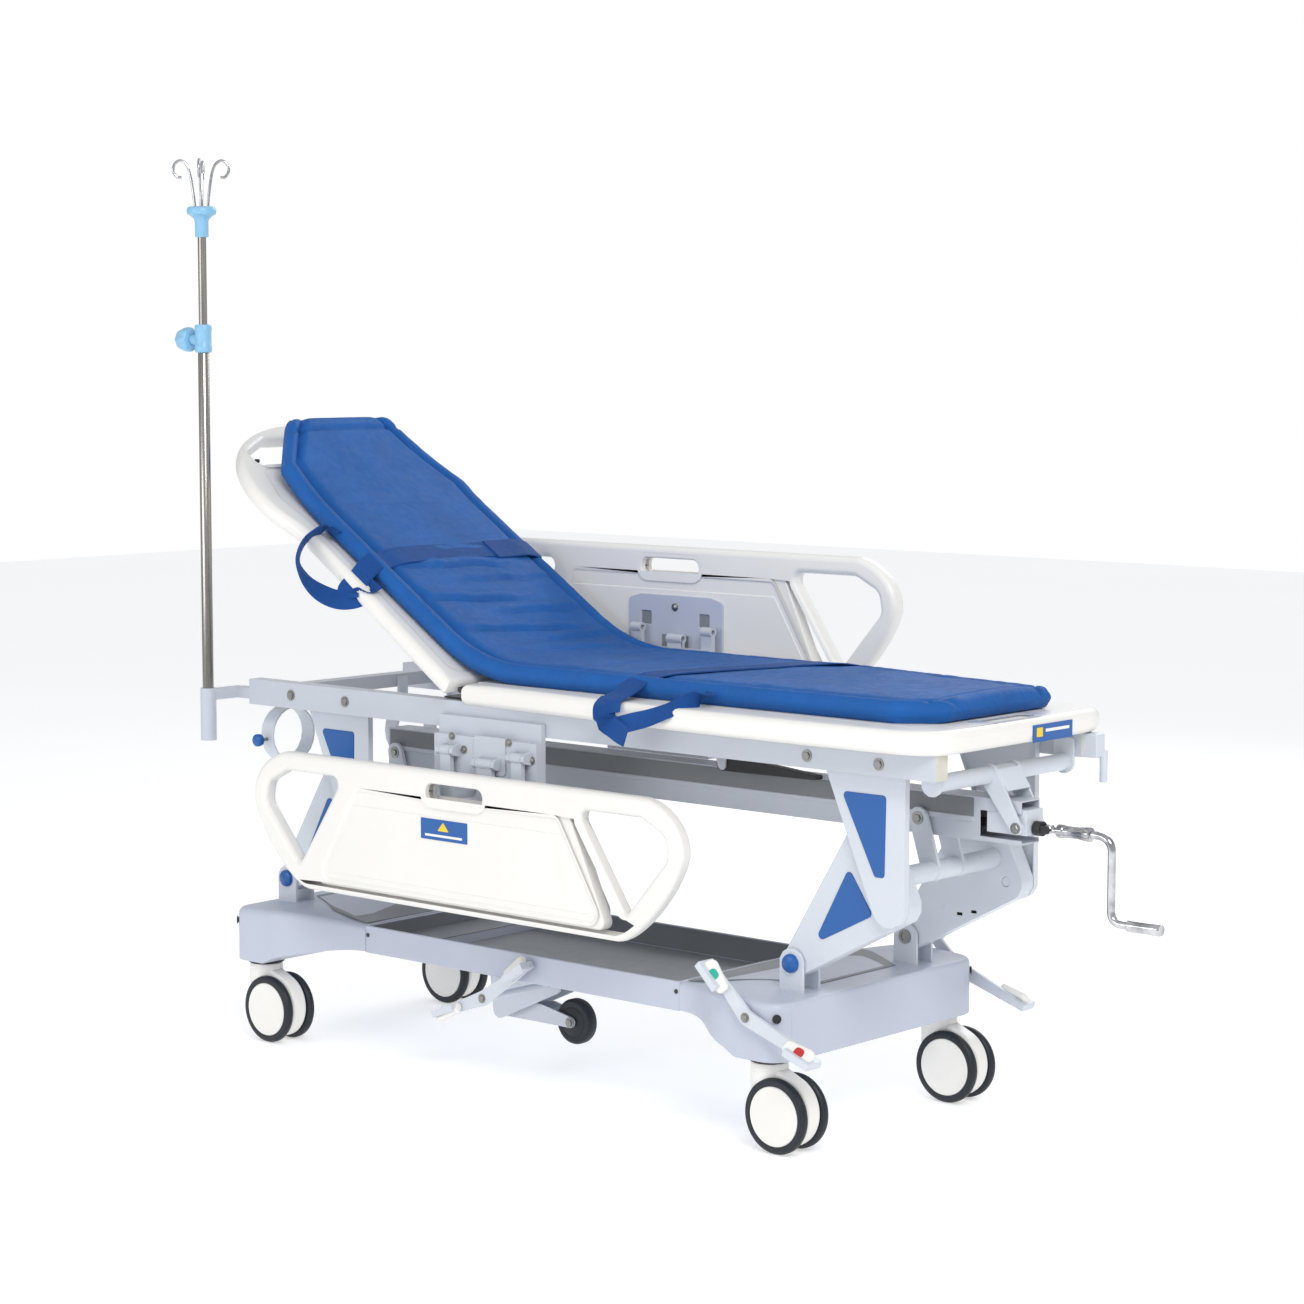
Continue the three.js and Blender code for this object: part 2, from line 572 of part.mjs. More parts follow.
addNode('top_frame', topFrame(), MATERIALS.frameSteel);
const leg = upperLeg();
for (const [endName, end] of Object.entries(ENDS)) {
  for (const [sideName, side] of Object.entries(SIDES)) {
    const shift = [armPivotX(end) - ARM_FOOT.x, 0, 0];
    addNode(`${endName}_leg_${sideName}`, onSide(leg, side).translate(shift), MATERIALS.whiteSteel);
  }
}
addNode('crank_hanger', crankHanger(), MATERIALS.whiteSteel);

// Oxygen-bottle rings: a flat band about the X axis, on a strap from the head crossbar.
function bottleRing(x, y, z, strapX) {
  const outer = 64;
  const band = cut(
    rod(outer, [x - 20, y, z], [x + 20, y, z], 20),
    rod(outer - 4, [x - 21, y, z], [x + 21, y, z], 20));
  const top = z + outer;
  const [x0, x1] = [Math.min(x - 15, strapX), Math.max(x + 15, strapX + 5)];
  const strap = box(x0, x1, y - 15, y + 15, top - 3, top + 3);
  const hanger = box(strapX, strapX + 5, y - 15, y + 15, top - 3, 796);
  return join(band, strap, hanger);
}

addNode('bottle_ring_right', bottleRing(-772, -173, 680, -726), MATERIALS.frameSteel);
addNode('bottle_ring_left', bottleRing(-650, 97, 676, -679), MATERIALS.frameSteel);

// ---- Crank --------------------------------------------------------------------------------

const YOKE_X = 1192;
const CRANK_X = 1335;
const GRIP_Z = 479;

function crankScrew() {
  const screw = rod(SCREW.r, [SCREW.x0, 0, SCREW.z], [SCREW.x1 - 4, 0, SCREW.z]);
  const collar = rod(14.5, [1163, 0, SCREW.z], [SCREW.x1, 0, SCREW.z], 16);
  const cheek = plateXZ(roundedHull([[SCREW.x1 - 3, SCREW.z, 8], [YOKE_X, SCREW.z, 8.5]]), 7.5, 11.5);
  const pin = rodY(3.5, YOKE_X, SCREW.z, -11, 11, 12);
  return join(screw, collar, onSide(cheek, 1), onSide(cheek, -1), pin);
}

function crankHandle() {
  const eye = cut(plateXZ(roundedHull([[YOKE_X, SCREW.z, 8.5], [YOKE_X + 22, SCREW.z, 7]]), -6.6, 6.6),
    rodY(4.2, YOKE_X, SCREW.z, -10, 10, 12));
  const sleeve = rod(11, [YOKE_X + 20, 0, SCREW.z], [1288, 0, SCREW.z], 16, 12);
  const shaft = tubeAlong([[1280, 0, SCREW.z], [CRANK_X - 25, 0, SCREW.z], [CRANK_X - 8, 0, SCREW.z - 4],
    [CRANK_X, 0, SCREW.z - 18], [CRANK_X, 0, 560], [CRANK_X, 0, GRIP_Z + 18], [CRANK_X + 5, 0, GRIP_Z + 5],
    [CRANK_X + 18, 0, GRIP_Z], [CRANK_X + 35, 0, GRIP_Z]], 7.5, 18, 8);
  const spindle = rod(5, [CRANK_X + 31, 0, GRIP_Z], [1440, 0, GRIP_Z], 12);
  return join(eye, sleeve, shaft, spindle);
}

function crankGrip() {
  return cut(
    rod(11, [1372, 0, GRIP_Z], [1447, 0, GRIP_Z], 20),
    rod(5.8, [1370, 0, GRIP_Z], [1442, 0, GRIP_Z], 12));
}

function driveNut() {
  return cut(
    box(NUT.x0, NUT.x1, -NUT.half, NUT.half, NUT.z0, NUT.z1),
    rod(SCREW.r + 0.8, [NUT.x0 - 1, 0, SCREW.z], [NUT.x1 + 1, 0, SCREW.z]));
}

addNode('crank_screw', crankScrew(), MATERIALS.blackPlastic);
addNode('crank_handle', crankHandle(), MATERIALS.steel);
addNode('crank_grip', crankGrip(), MATERIALS.steel);
addNode('drive_nut', driveNut(), MATERIALS.steel);

// ---- Foot deck and backrest ---------------------------------------------------------------

// Half of the deck's plan: widest under the thighs, round at the foot corners.
function deckPlan(inset) {
  const start = DECK.x0 + (inset > 0 ? inset : 0);
  const end = DECK.x1 - inset;
  const plan = new THREE.Shape();
  plan.moveTo(start, -266 + inset);
  plan.bezierCurveTo(160, -272 + inset, 380, -310 + inset, 640, -312 + inset);
  plan.bezierCurveTo(840, -312 + inset, 960, -310 + inset, 1050, -304 + inset);
  plan.bezierCurveTo(1112, -298 + inset, end, -270, end, -215);
  plan.lineTo(end, 215);
  plan.bezierCurveTo(end, 270, 1112, 298 - inset, 1050, 304 - inset);
  plan.bezierCurveTo(960, 310 - inset, 840, 312 - inset, 640, 312 - inset);
  plan.bezierCurveTo(380, 310 - inset, 160, 272 - inset, start, 266 - inset);
  plan.closePath();
  return plan;
}

function footDeck() {
  const { z0, z1, wall } = DECK;
  const slab = plateXY(deckPlan(0), z0 + 8, z1 - 6).add(plateXY(deckPlan(7), z0, z1));
  const hollow = plateXY(deckPlan(wall + 7), z0 - 1, z1 - wall - 4);
  const handhold = plateXY(roundedHull([[1092, -60, 16], [1092, 60, 16]]), z0 - 1, z1 + 1);
  const notch = box(DECK.x0 - 1, DECK.x0 + 60, -42, 12, z0 - 1, z1 - wall - 4);
  const railSeats = Object.values(SIDES).map((side) => sideBox(side, DECK.x0 - 1, RAIL.x1 + 1,
    RAIL.y0 - 1, RAIL.y1 + FIT_GAP, z0 - 1, RAIL.z1 + FIT_GAP));
  return cut(slab, hollow, handhold, notch, ...railSeats);
}

// The backrest is drawn flat, reaching toward -X from the hinge axis at the origin.
function boardPlan(inset) {
  const start = -9;
  const end = -BOARD.length + inset;
  const plan = new THREE.Shape();
  plan.moveTo(start, -288 + inset);
  plan.bezierCurveTo(-200, -284 + inset, -340, -272 + inset, -470, -270 + inset);
  plan.bezierCurveTo(-620, -266 + inset, -600, -300 + inset, -690, -300 + inset);
  plan.bezierCurveTo(-800, -300 + inset, end + 90, -236 + inset, end + 54, -176 + inset);
  plan.bezierCurveTo(end + 20, -124, end, -60, end, 0);
  plan.bezierCurveTo(end, 60, end + 20, 124, end + 54, 176 - inset);
  plan.bezierCurveTo(end + 90, 236 - inset, -800, 300 - inset, -690, 300 - inset);
  plan.bezierCurveTo(-600, 300 - inset, -620, 266 - inset, -470, 270 - inset);
  plan.bezierCurveTo(-340, 272 - inset, -200, 284 - inset, start, 288 - inset);
  plan.closePath();
  return plan;
}

const LEVER_DROP = 55;                       // height of the gas spring's pin below the hinge
const PIN_LEAN = Math.tan(radians(4.5));     // lean of the lever at rest, halfway through its swing

function backrestBoard() {
  const { top, bottom } = BOARD;
  const board = plateXY(boardPlan(0), bottom, top - 5).add(plateXY(boardPlan(6), bottom, top));
  const headEnd = box(-980, -760, -310, 310, bottom - 2, top);
  const hollow = cut(plateXY(boardPlan(14), bottom - 1, top - 12), headEnd);
  const grip = plateXY(roundedHull([[-895, -128, 20], [-895, 128, 20], [-842, -184, 18], [-842, 184, 18]]),
    bottom - 1, top + 1);
  return cut(board, hollow, grip);
}

const tiltBack = (body) => body.rotate([0, BACKREST_ANGLE, 0]).translate([HINGE.x, 0, HINGE.z]);

// The lever that the gas spring pushes, drawn hanging straight down at the rest angle, with the pin's slot.
function springLever() {
  const blade = plateXZ(roundedHull([[-22, -6, 12], [2, -30, 10], [6, -82, 10]]), -32, -26);
  const slot = plateXZ(roundedHull([[PIN_LEAN * 48, -48, 7.6], [PIN_LEAN * 74, -74, 7.6]]), -33, -25);
  return cut(blade, slot).translate([HINGE.x, 0, HINGE.z]);
}

// A pad's plan: its left edge lies further out than its right one, and the corners at x1 are cut off.
function padPlan(x0, x1, cuts) {
  const { right, left } = MATTRESS;
  const [rightX, rightY, leftX, leftY] = cuts;
  return asShape([[x0, -right], [rightX, -right], [x1, rightY], [x1, leftY], [leftX, left - 8], [x0, left]]);
}

addNode('foot_deck', footDeck(), MATERIALS.whitePlastic);
addNode('backrest_board', join(tiltBack(backrestBoard()), springLever()), MATERIALS.whitePlastic);
function mattressFoot() {
  const { thick, gap, footX } = MATTRESS;
  return plateXY(padPlan(-60, footX, [982, -156, 560, 190]), DECK.z1 + gap, DECK.z1 + gap + thick);
}

// The back section rises off the board toward the head end.
function mattressBack() {
  const { thick, right, left, gap, headX, lift } = MATTRESS;
  const low = BOARD.top + gap;
  const profile = new THREE.Shape();
  profile.moveTo(-66, low);
  profile.lineTo(-560, low);
  profile.quadraticCurveTo(-740, low, headX, low + lift);
  profile.lineTo(headX + 16, low + lift + thick);
  profile.quadraticCurveTo(-730, low + thick, -560, low + thick);
  profile.lineTo(-66, low + thick);
  profile.closePath();
  const plan = plateXY(padPlan(-66, headX, [-742, -134, -655, 165]), 0, low + lift + thick + 1);
  return plateXZ(profile, -right, left).intersect(plan);
}

addNode('mattress_foot', mattressFoot(), MATERIALS.blueVinyl);
addNode('mattress_back', tiltBack(mattressBack()), MATERIALS.blueVinyl);

// ---- Gas spring and its release lever -----------------------------------------------------

const SPRING = { y: -15, z: HINGE.z - LEVER_DROP };

function gasCylinder() {
  const { y, z } = SPRING;
  return cut(rod(12, [70, y, z], [300, y, z], 20).add(rod(8, [298, y, z], [309.7, y, z], 16)),
    rod(6, [69, y, z], [262, y, z], 16));
}

function gasRod() {
  const { y, z } = SPRING;
  const pinX = HINGE.x + LEVER_DROP * PIN_LEAN;
  const shaft = rod(5, [pinX + 6, y, z], [160, y, z], 14);
  const eye = rodY(8, pinX, z, y - 5, y + 5, 16);
  return join(shaft, eye, rodY(4, pinX, z, -37, y, 14));
}

function releaseLever() {
  const { x, y, z } = LEVER_PIVOT;
  const lever = plateXZ(roundedHull([[x, z, 13], [x + 60, z + 3, 13], [671, 699, 5]]), y - 11, y + 11);
  return cut(lever, rodY(4.6, x, z, y - 12, y + 12));
}

addNode('gas_spring_cylinder', gasCylinder(), MATERIALS.blackPlastic);
addNode('gas_spring_rod', gasRod(), MATERIALS.steel);
addNode('release_lever', releaseLever(), MATERIALS.blackPlastic);

// ---- Side rails ---------------------------------------------------------------------------

// Outline in XZ around the panel's swing pivot (z = 0) and its middle (x = 0).
function railOutline() {
  const { half, top, bottom } = SIDE_RAIL;
  const outline = new THREE.Shape();
  outline.moveTo(-455, bottom);
  outline.lineTo(455, bottom);
  outline.bezierCurveTo(500, bottom, 610, -10, half, 70);
  outline.bezierCurveTo(half + 6, 140, 560, top, 520, top);
  outline.lineTo(-520, top);
  outline.bezierCurveTo(-560, top, -half - 6, 140, -half, 70);
  outline.bezierCurveTo(-610, -10, -500, bottom, -455, bottom);
  outline.closePath();
  return outline;
}

function railWindow() {
  return roundedHull([[368, 118, 20], [516, 108, 34], [536, 70, 30], [476, -30, 8]]);
}

// Two ears and a pin at each arm; reach is how far the ears' root lies from the pin axis.
function earsAndPins(armX, reach, width) {
  const thick = 10;
  const ear = roundedHull([[0, 0, SWING.barrelR], [reach, 0, SWING.barrelR + 3]], 10);
  const ears = [-1, 1].map((sign) => {
    const x = armX + sign * (width / 2 + 1);
    return sign > 0 ? plateYZ(ear, x, x + thick) : plateYZ(ear, x - thick, x);
  });
  const pin = rod(5, [armX - width / 2 - 4, 0, 0], [armX + width / 2 + 4, 0, 0], 12);
  return join(...ears, pin);
}

const ARM_WIDTH = 30;
const STAY = { x: -14, width: 44 };

// Drawn with the main swing pivot at y = 0, z = 0 and outward as +Y.
function railPanel() {
  const { y, thick } = SIDE_RAIL;
  const inner = y - thick / 2 - SWING.y;
  const panel = plateXZ(railOutline(), inner, inner + thick).translate([SIDE_RAIL.x, 0, 0]);
  const window = plateXZ(railWindow(), inner - 1, inner + thick + 1);
  const slot = plateXZ(roundedHull([[-66, 136, 20], [66, 136, 20]]), inner - 1, inner + thick + 1);
  const openings = [window, mirrored(window, 'x'), slot].map((hole) => hole.translate([SIDE_RAIL.x, 0, 0]));
  const dish = plateXZ(roundedHull([[-300, 72, 10], [300, 72, 10], [-400, -62, 10], [400, -62, 10]]),
    inner + thick - 5, inner + thick + 1).translate([SIDE_RAIL.x, 0, 0]);
  const ears = RAIL_ARMS.map((x) => earsAndPins(x, inner - 2, ARM_WIDTH));
  const stayEars = earsAndPins(STAY.x, inner - 2, STAY.width).translate([0, 0, -STAY_DROP]);
  return join(cut(panel, dish, ...openings), ...ears, stayEars);
}

function swingArm(width, x) {
  const { thick, arm, barrelR } = SWING;
  const blade = box(x - width / 2, x + width / 2, -thick / 2, thick / 2, -arm, 0);
  const barrels = [0, -arm].map((z) => rod(barrelR, [x - width / 2, 0, z], [x + width / 2, 0, z], 18));
  const bores = [0, -arm].map((z) => rod(5.8, [x - width, 0, z], [x + width, 0, z], 12));
  return cut(join(blade, ...barrels), ...bores);
}

function swingFrame() {
  const [tieZ0, tieZ1] = [-182, -148];
  const tie = box(RAIL_ARMS[0], RAIL_ARMS[1], 7.5, 13, tieZ0, tieZ1);
  const arms = RAIL_ARMS.map((x) => swingArm(ARM_WIDTH, x).add(box(x - 15, x + 15, 4, 13, tieZ0, tieZ1)));
  return join(tie, ...arms);
}

// The bracket is bolted to the rail's outer side; the ears reach out to the swing pivots.
function railBracket() {
  const inner = RAIL.y1 + FIT_GAP - SWING.y;
  const face = -15;
  const plate = box(-181, 118, inner, face, -55, 31);
  const ears = RAIL_ARMS.map((x) => earsAndPins(x, face - 2, ARM_WIDTH));
  const stayEars = earsAndPins(STAY.x, face - 2, STAY.width).translate([0, 0, -STAY_DROP]);
  const upperStrip = box(-181, 118, inner, -30, 30, 70);
  return join(plate, upperStrip, ...ears, stayEars);
}

for (const [sideName, side] of Object.entries(SIDES)) {
  const raised = side > 0;
  const hinge = (body) => onSide(body.translate([0, SWING.y, SWING.z]), side);
  const swung = (body) => (raised ? body.rotate([180, 0, 0]) : body);
  const panel = railPanel().translate([0, 0, raised ? SWING.arm : -SWING.arm]);
  const stay = swung(swingArm(STAY.width, STAY.x)).translate([0, 0, -STAY_DROP]);
  addNode(`side_rail_panel_${sideName}`, hinge(panel), MATERIALS.whitePlastic);
  addNode(`side_rail_bracket_${sideName}`, hinge(railBracket()), MATERIALS.whitePlastic);
  addNode(`side_rail_arms_${sideName}`, hinge(swung(swingFrame())), MATERIALS.whitePlastic);
  addNode(`side_rail_stay_${sideName}`, hinge(stay), MATERIALS.whitePlastic);
}

// ---- Infusion pole ------------------------------------------------------------------------

const IV_UPPER_BOTTOM = 1180;

function ivLowerTube() {
  return cut(rod(IV.lowerR, [IV.x, IV.y, 686], [IV.x, IV.y, IV.clampZ + 14], 20),
    rod(IV.upperR + 0.8, [IV.x, IV.y, 860], [IV.x, IV.y, IV.clampZ + 20], 20));
}

function ivClamp() {
  const sleeve = rod(18, [IV.x, IV.y, IV.clampZ - 34], [IV.x, IV.y, IV.clampZ + 30], 24);
  const boss = rod(12, [IV.x - 8, IV.y, IV.clampZ - 4], [IV.x - 34, IV.y, IV.clampZ - 4], 18);
  const bore = rod(IV.lowerR + FIT_GAP, [IV.x, IV.y, IV.clampZ - 40], [IV.x, IV.y, IV.clampZ + 16], 20);
  const neck = rod(IV.upperR + 1, [IV.x, IV.y, IV.clampZ + 10], [IV.x, IV.y, IV.clampZ + 40], 20);
  return cut(join(sleeve, boss), bore, neck);
}

function ivKnob() {
  const grip = new THREE.SphereGeometry(22, 12, 8);
  const z = IV.clampZ - 4;
  grip.scale(1, 1.2, 1.2).translate(IV.x - 58, IV.y, z);
  return join(solid(grip), rod(9, [IV.x - 54, IV.y, z], [IV.x - 34.5, IV.y, z], 16));
}

function ivHub() {
  const neck = rod(15, [IV.x, IV.y, IV.hubZ - 44], [IV.x, IV.y, IV.hubZ - 6], 20);
  const flare = rod(15, [IV.x, IV.y, IV.hubZ - 12], [IV.x, IV.y, IV.hubZ + 6], 20, 31);
  const head = rod(32, [IV.x, IV.y, IV.hubZ + 5], [IV.x, IV.y, IV.hubZ + 24], 24);
  let hub = cut(join(neck, flare, head),
    rod(IV.upperR + FIT_GAP, [IV.x, IV.y, IV.hubZ - 50], [IV.x, IV.y, IV.hubZ + 5], 20));
  for (let i = 0; i < 4; i += 1) {
    const angle = radians(45 + 90 * i);
    const at = (reach, z) => [IV.x + reach * Math.cos(angle), IV.y + reach * Math.sin(angle), z];
    const loop = [at(14, IV.hubZ + 18), at(18, 1905), at(25, 1942), at(33, 1960), at(46, IV.topZ - 3),
      at(58, 1959), at(61, 1943), at(53, 1931), at(43, 1930)];
    hub = hub.add(tubeAlong(loop, 3, 14, 6));
  }
  return hub;
}

const upperTube = rod(IV.upperR, [IV.x, IV.y, IV_UPPER_BOTTOM], [IV.x, IV.y, IV.hubZ + 4], 18);
addNode('iv_lower_tube', ivLowerTube(), MATERIALS.steel);
addNode('iv_upper_tube', upperTube, MATERIALS.steel);
addNode('iv_clamp', ivClamp(), MATERIALS.lightBlue);
addNode('iv_clamp_knob', ivKnob(), MATERIALS.lightBlue);
addNode('iv_hook_hub', ivHub(), MATERIALS.lightBlue);

trolley.position.set(-CENTRE.x, -CENTRE.y, 0);

const model = new THREE.Group();
model.add(trolley);
export default model;
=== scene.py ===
"""Looks of a crank-raised stretcher trolley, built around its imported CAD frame."""

import json
from math import cos, exp, pi, radians, sin, sqrt, tan

import bmesh
import bpy
from mathutils import Matrix, Vector, noise

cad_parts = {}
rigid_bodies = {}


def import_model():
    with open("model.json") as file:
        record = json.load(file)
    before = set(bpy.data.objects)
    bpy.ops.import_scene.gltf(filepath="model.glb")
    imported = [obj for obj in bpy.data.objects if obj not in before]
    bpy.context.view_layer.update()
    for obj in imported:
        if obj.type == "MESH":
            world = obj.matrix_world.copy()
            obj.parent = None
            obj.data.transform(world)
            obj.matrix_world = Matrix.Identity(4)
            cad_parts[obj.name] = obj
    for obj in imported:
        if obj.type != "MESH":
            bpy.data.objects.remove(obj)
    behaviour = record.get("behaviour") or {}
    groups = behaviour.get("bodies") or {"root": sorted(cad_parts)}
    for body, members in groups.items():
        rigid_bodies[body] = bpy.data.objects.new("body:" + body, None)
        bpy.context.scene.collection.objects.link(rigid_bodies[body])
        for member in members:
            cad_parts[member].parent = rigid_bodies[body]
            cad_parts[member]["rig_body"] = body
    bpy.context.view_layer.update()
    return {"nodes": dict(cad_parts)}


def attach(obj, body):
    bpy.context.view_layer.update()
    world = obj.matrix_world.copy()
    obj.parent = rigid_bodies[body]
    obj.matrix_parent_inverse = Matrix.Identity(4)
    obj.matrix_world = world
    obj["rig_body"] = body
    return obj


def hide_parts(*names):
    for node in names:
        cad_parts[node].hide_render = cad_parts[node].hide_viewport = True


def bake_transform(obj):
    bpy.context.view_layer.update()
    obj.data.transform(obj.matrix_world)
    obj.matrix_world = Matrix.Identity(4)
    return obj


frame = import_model()
NODES = frame["nodes"]

# ---- Dimensions in millimetres, in the build frame whose X axis starts between the casters ----

MM = 0.001
CENTRE_X = 241.5
SIDES = {"right": -1, "left": 1}
ENDS = {"foot": 1, "head": -1}
HINGE = (-128, 842)
TILT = radians(33)
FOOT_ARM = (736, 355)
END_PITCH = 1472
ARM_APEX = (338 * cos(radians(58)), 338 * sin(radians(58)))
RAIL_X = -52
RAIL_Y = 342
PANEL_Z = {"right": 490, "left": 930}
CASTER = {"x": 736, "y": 278, "trail": 43, "r": 75, "gap": 42, "drum": 71, "neck": 37.5}
POLE = (-863, -330)


def at(x, y, z):
    """A build point in millimetres as a frame point in metres."""
    return Vector(((x - CENTRE_X) * MM, y * MM, z * MM))


def on_board(x, y, z):
    """A point of the flat-drawn backrest, in the tilted backrest's place."""
    c, s = cos(TILT), sin(TILT)
    return at(HINGE[0] + x * c + z * s, y, HINGE[1] - x * s + z * c)


# ---- Materials ----

def add_node(tree, kind, place, **inputs):
    node = tree.nodes.new(kind)
    node.location = place
    for key, value in inputs.items():
        node.inputs[key.replace("_", " ")].default_value = value
    return node


def noise_texture(tree, vector, scale, detail, place):
    texture = add_node(tree, "ShaderNodeTexNoise", place, Scale=scale, Detail=detail)
    tree.links.new(vector, texture.inputs["Vector"])
    return texture.outputs["Fac"]


def remap(tree, value, low, high, place, source=(0.3, 0.7)):
    node = add_node(tree, "ShaderNodeMapRange", place)
    node.inputs["From Min"].default_value, node.inputs["From Max"].default_value = source
    node.inputs["To Min"].default_value, node.inputs["To Max"].default_value = low, high
    tree.links.new(value, node.inputs["Value"])
    return node.outputs["Result"]


def stretched(tree, vector, scale, place):
    mapping = add_node(tree, "ShaderNodeMapping", place)
    mapping.inputs["Scale"].default_value = scale
    tree.links.new(vector, mapping.inputs["Vector"])
    return mapping.outputs["Vector"]


def material(name, colour, roughness, metallic=0.0, mottle=0.05, patch=4.0, grain=700.0, depth=0.00012,
             stretch=(1, 1, 1), coat=0.0, specular=0.5, spread=0.06, weave=None, glow=0.0):
    """A finish with patchy colour, uneven gloss and a fine surface grain."""
    made = bpy.data.materials.new(name)
    made.use_nodes = True
    tree = made.node_tree
    shader = tree.nodes["Principled BSDF"]
    shader.inputs["Metallic"].default_value = metallic
    shader.inputs["Coat Weight"].default_value = coat
    shader.inputs["Coat Roughness"].default_value = 0.15
    shader.inputs["Specular IOR Level"].default_value = specular
    shader.inputs["Emission Color"].default_value = (1, 1, 1, 1)
    shader.inputs["Emission Strength"].default_value = glow
    coordinates = tree.nodes.new("ShaderNodeTexCoord")
    coordinates.location = (-1200, 0)
    where = coordinates.outputs["Object"]
    long_way = stretched(tree, where, stretch, (-1000, 0))
    patches = noise_texture(tree, long_way, patch, 5.0, (-800, 200))
    mix = add_node(tree, "ShaderNodeMix", (-400, 200))
    mix.data_type = "RGBA"
    mix.inputs["A"].default_value = (*[c * (1 - mottle) for c in colour], 1)
    mix.inputs["B"].default_value = (*[min(1, c * (1 + mottle)) for c in colour], 1)
    factor = remap(tree, patches, 0, 1, (-600, 200))
    tree.links.new(factor, mix.inputs["Factor"])
    tree.links.new(mix.outputs["Result"], shader.inputs["Base Color"])
    smudge = noise_texture(tree, long_way, patch * 7, 4.0, (-800, -50))
    uneven = remap(tree, smudge, max(0.03, roughness - spread), roughness + spread, (-600, -50))
    tree.links.new(uneven, shader.inputs["Roughness"])
    height = noise_texture(tree, long_way, grain, 2.0, (-800, -300))
    if weave:
        height = weave_height(tree, coordinates.outputs[weave[0]], weave[1], height)
    bump = add_node(tree, "ShaderNodeBump", (-400, -300), Strength=0.8, Distance=depth)
    tree.links.new(height, bump.inputs["Height"])
    tree.links.new(bump.outputs["Normal"], shader.inputs["Normal"])
    return made


def weave_height(tree, vector, scale, grain):
    """Crossing threads, with the fine grain added."""
    total = grain
    for row, direction in enumerate("XY"):
        threads = add_node(tree, "ShaderNodeTexWave", (-800, -550 - 250 * row), Scale=scale, Distortion=1.5)
        threads.bands_direction = direction
        threads.inputs["Detail Scale"].default_value = 3
        tree.links.new(vector, threads.inputs["Vector"])
        add = tree.nodes.new("ShaderNodeMath")
        add.location = (-600, -550 - 250 * row)
        tree.links.new(total, add.inputs[0])
        tree.links.new(threads.outputs["Fac"], add.inputs[1])
        total = add.outputs["Value"]
    return total


MATERIALS = {
    "white_plastic": material("warm_white_moulding", (0.84, 0.825, 0.79), 0.36, mottle=0.02, grain=900,
        coat=0.08),
    "white_steel": material("white_powder_coat", (0.62, 0.655, 0.715), 0.33, mottle=0.03, grain=420,
        depth=0.00018, coat=0.15),
    "frame_steel": material("grey_powder_coat", (0.52, 0.55, 0.61), 0.36, mottle=0.04, grain=420,
        depth=0.00018, coat=0.1),
    "grey_moulding": material("lavender_moulding", (0.50, 0.535, 0.63), 0.4, mottle=0.03, grain=800,
        coat=0.05),
    # Dark grey: painted shade for the tray's floor, inner walls and end steps; also used for the end
    # mouldings' mats, the dark patch in the rail plate's holes and the rail's inner label.
    "dark_grey_and_tray_shade": material("grey_and_painted_tray_shade", (0.22, 0.235, 0.255), 0.45, mottle=0.08, grain=300,
        depth=0.0003),
    "blue_fabric": material("coated_blue_cloth", (0.008, 0.115, 0.42), 0.55, mottle=0.1, patch=9,
        grain=1500, depth=0.00025, specular=0.3, spread=0.08, weave=("Object", 420)),
    "webbing": material("blue_webbing", (0.006, 0.075, 0.31), 0.62, mottle=0.12, patch=14, grain=1500,
        depth=0.0006, specular=0.3, weave=("UV", 9)),
    "blue_plastic": material("blue_insert", (0.001, 0.095, 0.36), 0.34, grain=900, coat=0.2),
    "light_blue_plastic": material("light_blue_moulding", (0.24, 0.50, 0.72), 0.35, grain=900, coat=0.1),
    "black_plastic": material("black_moulding", (0.018, 0.018, 0.02), 0.42, mottle=0.2, grain=500,
        depth=0.0003),
    "black_metal": material("black_paint", (0.02, 0.02, 0.023), 0.3, mottle=0.15, coat=0.2),
    "stainless": material("brushed_stainless", (0.34, 0.325, 0.30), 0.22, metallic=1, mottle=0.45, patch=2,
        stretch=(60, 60, 1), grain=12, depth=0.0001),
    "chrome": material("chrome_plate", (0.52, 0.52, 0.53), 0.14, metallic=1, mottle=0.3, patch=40,
        grain=200, depth=0.00004, spread=0.05),
    "zinc": material("zinc_bolts", (0.3, 0.3, 0.29), 0.35, metallic=1, mottle=0.12, patch=80, grain=600),
    "brass": material("machined_nut", (0.55, 0.42, 0.2), 0.35, metallic=1, mottle=0.1, patch=50),
    "tyre": material("dark_tyre", (0.006, 0.011, 0.017), 0.45, mottle=0.2, patch=25, grain=500,
        depth=0.0003),
    "red_plastic": material("red_mark", (0.5, 0.03, 0.03), 0.4, mottle=0.1, patch=60),
    "green_plastic": material("green_mark", (0.03, 0.42, 0.33), 0.4, mottle=0.1, patch=60),
    # Painted shade: a dark grey for the upper part of the tie beam's sides, where the deck shades them.
    "painted_shade_grey": material("painted_beam_shade", (0.2, 0.215, 0.225), 0.5, mottle=0.1, patch=6),
    "yellow": material("yellow_mark", (0.85, 0.6, 0.03), 0.45, patch=60),
    "beige": material("beige_cap", (0.62, 0.6, 0.52), 0.45, patch=30),
    "floor": material("pale_floor", (0.8, 0.8, 0.8), 0.7, mottle=0.01, patch=0.6, grain=60, depth=0.0002,
        glow=0.42),
}


# ---- Mesh tools ----

